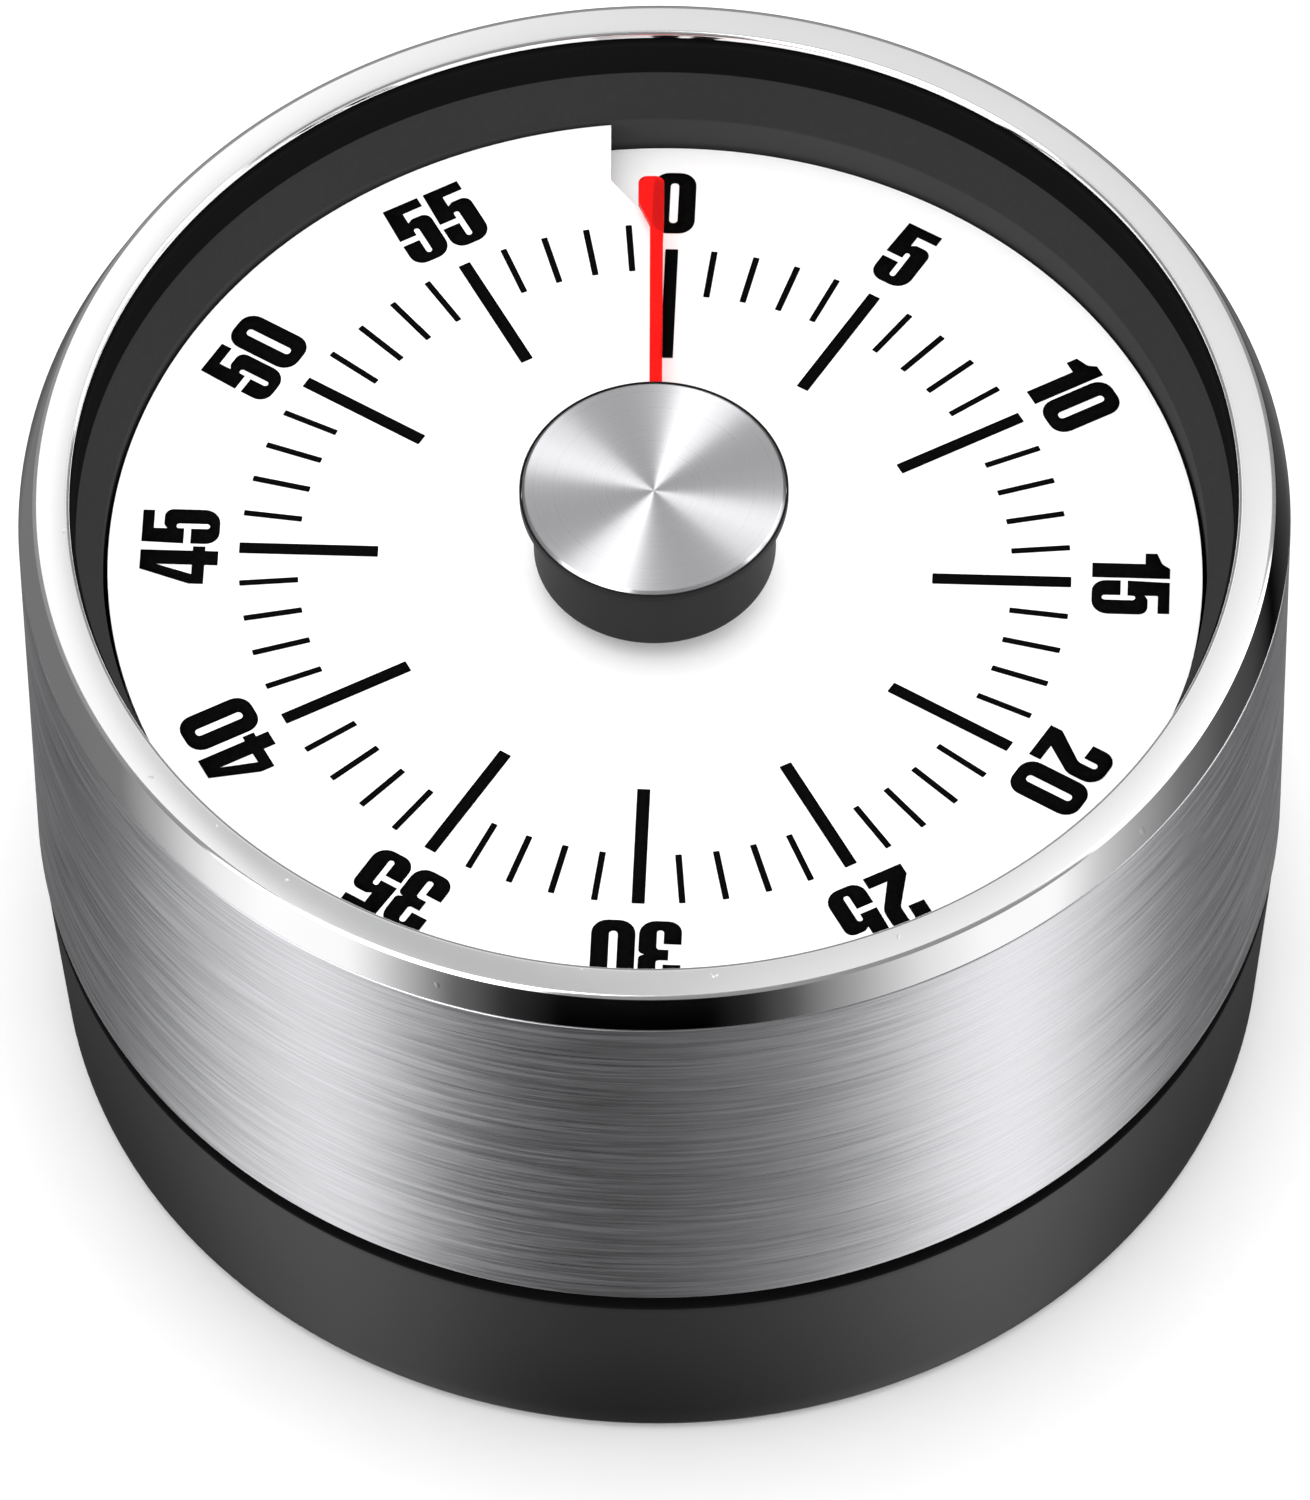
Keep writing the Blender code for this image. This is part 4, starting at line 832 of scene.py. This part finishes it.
# %% Drop the ink on the dial
def print_on_dial(piece):
    apply(piece, "SHRINKWRAP", target=dial, wrap_method="PROJECT", use_project_z=True,
          use_negative_direction=True, use_positive_direction=False)
    bpy.ops.object.mode_set(mode="EDIT")
    bpy.ops.mesh.select_all(action="SELECT")
    bpy.ops.transform.translate(value=(0, 0, INK_T * MM))
    bpy.ops.object.mode_set(mode="OBJECT")
    if piece.data.polygons[0].normal.z < 0:
        piece.data.flip_normals()
    apply(piece, "SOLIDIFY", thickness=INK_T * MM, offset=1.0)
    coat(piece, paint_ink)
    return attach(piece, "case")


def bar(name, width, inner, outer):
    return cut_sheet(name, [[(-width / 2, inner, 0.05), (width / 2, inner, 0.05),
                             (width / 2, outer, 0.05), (-width / 2, outer, 0.05)]],
                     DRAW_Z, DRAW_Z, 2)


def minute_angle(minutes):
    return PRINT_TURN + 6.0 * minutes


MARK_OUT, LONG_IN, SHORT_IN = 25.63, 17.07, 22.0
long_bar = bar("long_bar", 0.8, LONG_IN, MARK_OUT)
short_bar = bar("short_bar", 0.4, SHORT_IN, MARK_OUT)
long_bars = [copy_at(long_bar, "bar", degrees=minute_angle(m)) for m in range(0, 60, 5)]
short_bars = [copy_at(short_bar, "bar", degrees=minute_angle(m)) for m in range(60) if m % 5]
print_on_dial(join("five_minute_marks", long_bars))
print_on_dial(join("minute_marks", short_bars))
discard(long_bar, short_bar)
print("marks printed:", len(long_bars), "long,", len(short_bars), "short")

# %% Numerals
digit_piece = {digit: cut_sheet("digit_" + digit, loops, DRAW_Z / NUMERAL_H,
                                DRAW_Z / NUMERAL_H, 6) for digit, loops in DIGITS.items()}
for minutes in range(0, 60, 5):
    figures = []
    text = str(minutes)
    width = sum(WIDTHS[d] for d in text) + DIGIT_GAP * (len(text) - 1)
    x = -width / 2
    for digit in text:
        figure = twin_of(digit_piece[digit], "figure")
        figure.scale = (NUMERAL_H, NUMERAL_H, NUMERAL_H)
        figure.location = (x * NUMERAL_H * MM, NUMERAL_R * MM, 0.0)
        figures.append(figure)
        x += WIDTHS[digit] + DIGIT_GAP
    choose(figures)
    bpy.ops.object.transform_apply(location=True, rotation=True, scale=True)
    numeral = join(f"numeral_{minutes:02d}", figures)
    numeral.rotation_euler.z = -math.radians(minute_angle(minutes))
    bpy.ops.object.transform_apply(location=True, rotation=True, scale=True)
    print_on_dial(numeral)
discard(*digit_piece.values())
print("numerals printed:", 60 // 5)

# %% [markdown]
# ## Disc, pointer and knob
# The red disc is a film of the same helix, a little lower and thinner. The pointer is a clip
# of clear red sheet under the knob; its paddle leans to the left of its arm, and its
# slanted lower edge follows the notch of the dial when the timer stands at zero.

# %% Red disc
FILM_T, FILM_HOLE_R = 0.3, 3.8
FILM_START, FILM_END = 2.0, 358.0
FILM_FOOT = low("countdown_disc").z + FILM_T
FILM_RISE = high("countdown_disc").z - FILM_FOOT


def film_height(degrees):
    return FILM_FOOT + FILM_RISE / (FILM_END - FILM_START) * (degrees - FILM_START)


film = helix("red_film_disc", FILM_HOLE_R, DISC_R, FILM_START, FILM_END, film_height, FILM_T,
             240)
coat(film, red_film)
fit(film, "disc", "red_disc", "countdown_disc")

# %% Clear pointer
POINTER_LOW, POINTER_TOP = low("pointer").z, high("pointer").z
TIP_R = high("pointer").y
ARM_HALF, PADDLE_LEFT, PADDLE_FOOT = 0.41, -1.15, TIP_R - 3.0
RING_OUT, RING_IN = 6.2, 3.3
ring = [polar(RING_OUT, a) for a in range(12, 349, 12)]
hole = [polar(RING_IN, 90 - a) for a in range(0, 360, 12)]
pointer = cut_sheet("clear_pointer", [
    [(ARM_HALF - 0.03, RING_OUT, 0), *ring, (-ARM_HALF + 0.03, RING_OUT, 0),
     (-ARM_HALF, PADDLE_FOOT - 0.75, 0.2), (PADDLE_LEFT, PADDLE_FOOT + 0.95, 0.2),
     (PADDLE_LEFT, TIP_R, 0.55), (ARM_HALF + 0.05, TIP_R, 0.55),
     (ARM_HALF + 0.05, PADDLE_FOOT - 0.5, 0.0), (ARM_HALF, PADDLE_FOOT - 2.0, 0)],
    hole], POINTER_LOW, POINTER_TOP)
apply(pointer, "BEVEL", width=0.05 * MM, segments=2, limit_method="ANGLE",
      angle_limit=math.radians(50.0))
smooth(pointer)
coat(pointer, red_pointer)
fit(pointer, "knob", "red_clear", "pointer")
print("pointer cut:", len(pointer.data.polygons), "faces")

# %% [markdown]
# The knob has a moulded skirt, hollow under its rim, with a stem that goes down through the
# dial. A disc of spun steel is set in its top, dished a little towards the middle. The turning
# grooves run in rings, so every lamp draws a bright fan from the centre, and its opposite. A
# black lip keeps the disc's edge.

# %% Knob skirt
skirt_top, skirt_low, stem_low = high("knob_skirt").z, POINTER_LOW, low("knob_skirt").z
skirt_r = high("knob_skirt").x
hollow_top = POINTER_TOP + 0.3
BORE_R, STEM_R, FLAT_HALF, SKIRT_WALL = 1.65, 3.0, 2.4, 0.95
GATE_HALF = 0.75                      # the gap in the skirt that lets the arm out
skirt = turned("knob_skirt_shell", [
    (BORE_R, stem_low, 0.05), (STEM_R, stem_low, 0.1), (STEM_R, hollow_top, 0.05),
    (skirt_r - SKIRT_WALL, hollow_top, 0.1), (skirt_r - SKIRT_WALL, skirt_low, 0.08),
    (skirt_r, skirt_low, 0.18), (skirt_r, skirt_low + 0.5, 0), (skirt_r, skirt_top - 1.0, 0),
    (skirt_r, skirt_top, 0.4), (BORE_R, skirt_top, 0.05)], 128)
cut(skirt,
    block("flat_a", -4.0, 4.0, FLAT_HALF, 4.0, stem_low - 1.0, hollow_top - 1.2),
    block("flat_b", -4.0, 4.0, -4.0, -FLAT_HALF, stem_low - 1.0, hollow_top - 1.2),
    block("gate", -GATE_HALF, GATE_HALF, 5.0, skirt_r + 1.0, skirt_low - 1.0, hollow_top))
coat(skirt, plastic_knob)
fit(skirt, "knob", "grey_plastic", "knob_skirt")

# %% Spun cap and its lip
cap_low = low("knob_cap").z
LIP, LIP_TOP = 0.13, KNOB_TOP - 0.12
DISH = 0.36
DISC_EDGE = CAP_R - LIP - 0.02
cap = turned("spun_cap", [
    (0.0, cap_low, 0), (DISC_EDGE, cap_low, 0.05), (DISC_EDGE, KNOB_TOP - 0.18, 0.03),
    (DISC_EDGE - 0.18, KNOB_TOP, 0.05), (0.0, KNOB_TOP - DISH, 0)], 160)
coat(cap, steel_spun)
fit(cap, "knob", "spun_steel", "knob_cap")
lip = turned("cap_lip", [
    (CAP_R - LIP, cap_low, 0.02), (CAP_R, cap_low, 0.05), (CAP_R, LIP_TOP, 0.05),
    (CAP_R - LIP, LIP_TOP, 0.03)], 160)
coat(lip, plastic_black)
fit(lip, "knob", "black_plastic")

# %% [markdown]
# ## The studio
# The floor is a plain pale sweep and the light a soft dome. Polished steel only shows what
# stands round it, so the studio also has cards: dark ones in front, bright ones to the sides,
# and a fan of bright strips overhead for the knob. They are painted into the world by
# direction, and only reflections see them.

# %% Dome and cards
scene = bpy.context.scene
scene.view_settings.view_transform = "Standard"
world = bpy.data.worlds.new("studio")
scene.world = world
world.use_nodes = True
studio = Board(world.node_tree)
toward = studio.node("ShaderNodeTexCoord", output=0)
east, north, up = studio.split(toward)


def bearing(across, along):
    """The angle of a point (across, along), in radians from the second axis."""
    return studio.node("ShaderNodeMath", {"operation": "ARCTAN2"}, {0: across, 1: along})


around = bearing(east, 0.0 - north) / (2 * math.pi) + 0.5

# brightness by azimuth, from behind over the left, the front and the right
LOW_CARDS = [(-180, .12), (-150, .11), (-125, .10), (-112, .15), (-100, .45), (-84, 1.1),
             (-64, 1.75), (-56, 1.3), (-46, .42), (-38, .18), (-28, .11), (-14, .07),
             (0, .125), (16, .25), (34, .38), (44, .62), (56, 1.5), (70, 2.15), (84, 1.5),
             (98, .42), (112, .17), (140, .16), (180, .12)]
HORIZON_CARDS = [(-180, .2), (-120, .2), (-104, .2), (-90, .22), (-80, .52), (-70, 1.0),
                 (-60, 1.2), (-46, 1.15), (-38, .6), (-30, .16), (-22, .03), (-14, .0), (8, .0),
                 (14, .02), (20, .1), (30, .45), (40, .9), (50, 1.15), (62, 1.15), (70, .7),
                 (78, .42), (88, .2), (100, .09), (110, .06), (120, .0), (150, .1), (180, .2)]


def by_azimuth(cards):
    """A colour ramp round the horizon; ramps hold levels up to one, so it is scaled."""
    most = max(level for _, level in cards)
    stops = [((degrees + 180) / 360, level / most) for degrees, level in cards]
    ramp = studio.node("ShaderNodeValToRGB", {"stops": stops}, {0: around})
    return ramp * most


low_cards, horizon_cards = by_azimuth(LOW_CARDS), by_azimuth(HORIZON_CARDS)
middle = studio.rise(up, -0.72, -0.60)
lower = low_cards * (1 - middle) + horizon_cards * middle
print("cards hung:", len(LOW_CARDS), "low stops,", len(HORIZON_CARDS), "at the horizon")

# %% [markdown]
# Overhead, everything is laid out round one direction, `FLAT_MIRROR`, the way in which a flat
# face that lies level sends the eye. Close round it is the glow that the flat rim shows. Round
# that stand the strips, as wedges, because a spun disc turns a wedge into a fan of light.

# %% Glow and strips overhead
FLAT_MIRROR = (-0.0106, 0.589)        # east and north
off_east, off_north = east - FLAT_MIRROR[0], north - FLAT_MIRROR[1]
fan_degrees = bearing(east, off_north) * (180.0 / math.pi)
BASE_LEVEL = 0.33
STRIPS = [(-170, -134, 2.3), (-166, -154, 1.5), (96, 122, 2.4), (122, 136, 1.7)]
strips = BASE_LEVEL
for first, last, level in STRIPS:
    within = (studio.rise(fan_degrees, first - 1, first + 3)
              * (1 - studio.rise(fan_degrees, last - 3, last + 1)))
    strips = within * level + strips
near_mirror = 1 - studio.rise(studio.reach(off_east, off_north), 0.060, 0.080)
front = studio.rise(up, 0.790, 0.806)
dip = studio.rise(off_east, -0.037, -0.022) * (1 - studio.rise(off_east, -0.005, 0.004))
aside = studio.node("ShaderNodeMath", {"operation": "ABSOLUTE"}, {0: off_east})
rim_glow = (front * (0.80 + 9.0 * aside - 0.40 * dip)
            + (1 - front) * (0.88 + 6.0 * (aside - off_east)))
upper = strips * (1 - near_mirror) + rim_glow * near_mirror
overhead = studio.rise(up, 0.15, 0.35)
cards = lower * (1 - overhead) + upper * overhead
gloss_only = studio.node("ShaderNodeLightPath", output=3)
DOME = 1.9
brightness = cards * gloss_only + (1 - gloss_only) * DOME
background = world.node_tree.nodes["Background"]
studio.feed(background.inputs["Strength"], brightness)
background.inputs["Color"].default_value = grey(1.0)
print("studio painted:", len(STRIPS), "strips overhead")

# %% [markdown]
# One broad lamp from behind gives the soft shadow in front. It is left out of reflections,
# where the cards do that work.

# %% Lamp and floor
bpy.ops.object.select_all(action="DESELECT")
bpy.ops.object.light_add(type="SUN", location=(-0.3, 0.3, 0.5))
lamp = bpy.context.object
lamp.name = "soft_lamp"
lamp.data.energy = 0.25
lamp.data.angle = math.radians(35.0)
lamp.rotation_euler = Vector((-0.1, 0.6, 1.0)).to_track_quat("Z", "Y").to_euler()
lamp.visible_glossy = False

FLOOR_R, FLOOR_BORDER = 4.8, 4.4
bpy.ops.mesh.primitive_circle_add(vertices=96, radius=FLOOR_R, fill_type="NGON")
floor = bpy.context.object
floor.name = floor.data.name = "studio_floor"
bpy.ops.object.mode_set(mode="EDIT")
bpy.ops.mesh.select_all(action="SELECT")
bpy.ops.mesh.inset(thickness=FLOOR_BORDER)
bpy.ops.object.mode_set(mode="OBJECT")
pale = Finish("floor_pale_card")
tooth = pale.noise(300.0)
floor.data.materials.append(pale.paint(
    Base_Color=pale.blend(tooth, grey(0.74), grey(0.76)), Roughness=0.9 + tooth * 0.05))
floor.visible_glossy = False
print("lamp up and floor laid:", 2 * FLOOR_R, "metres across")

# %% [markdown]
# ## The camera
# A long lens a metre away looks down at the dial at 54 degrees, nearly square on to the zero
# mark, with a hair of roll.

# %% Camera
ELEVATION, AZIMUTH, ROLL = 53.89, 1.03, -0.96
DISTANCE, TARGET = 0.9827, Vector((-0.2, 0.0, 19.8)) * MM
rise_angle, side_angle = math.radians(ELEVATION), math.radians(AZIMUTH)
back = Vector((math.sin(side_angle) * math.cos(rise_angle),
               -math.cos(side_angle) * math.cos(rise_angle), math.sin(rise_angle)))
bpy.ops.object.camera_add(location=TARGET + back * DISTANCE)
camera = bpy.context.object
camera.name = "product_camera"
camera.data.lens, camera.data.sensor_width = 376.9, 36.0
camera.rotation_mode = "QUATERNION"
camera.rotation_quaternion = ((-back).to_track_quat("-Z", "Y")
                              @ Quaternion((0, 0, 1), math.radians(ROLL)))
scene.camera = camera
print("camera set at", [round(v, 3) for v in camera.location])
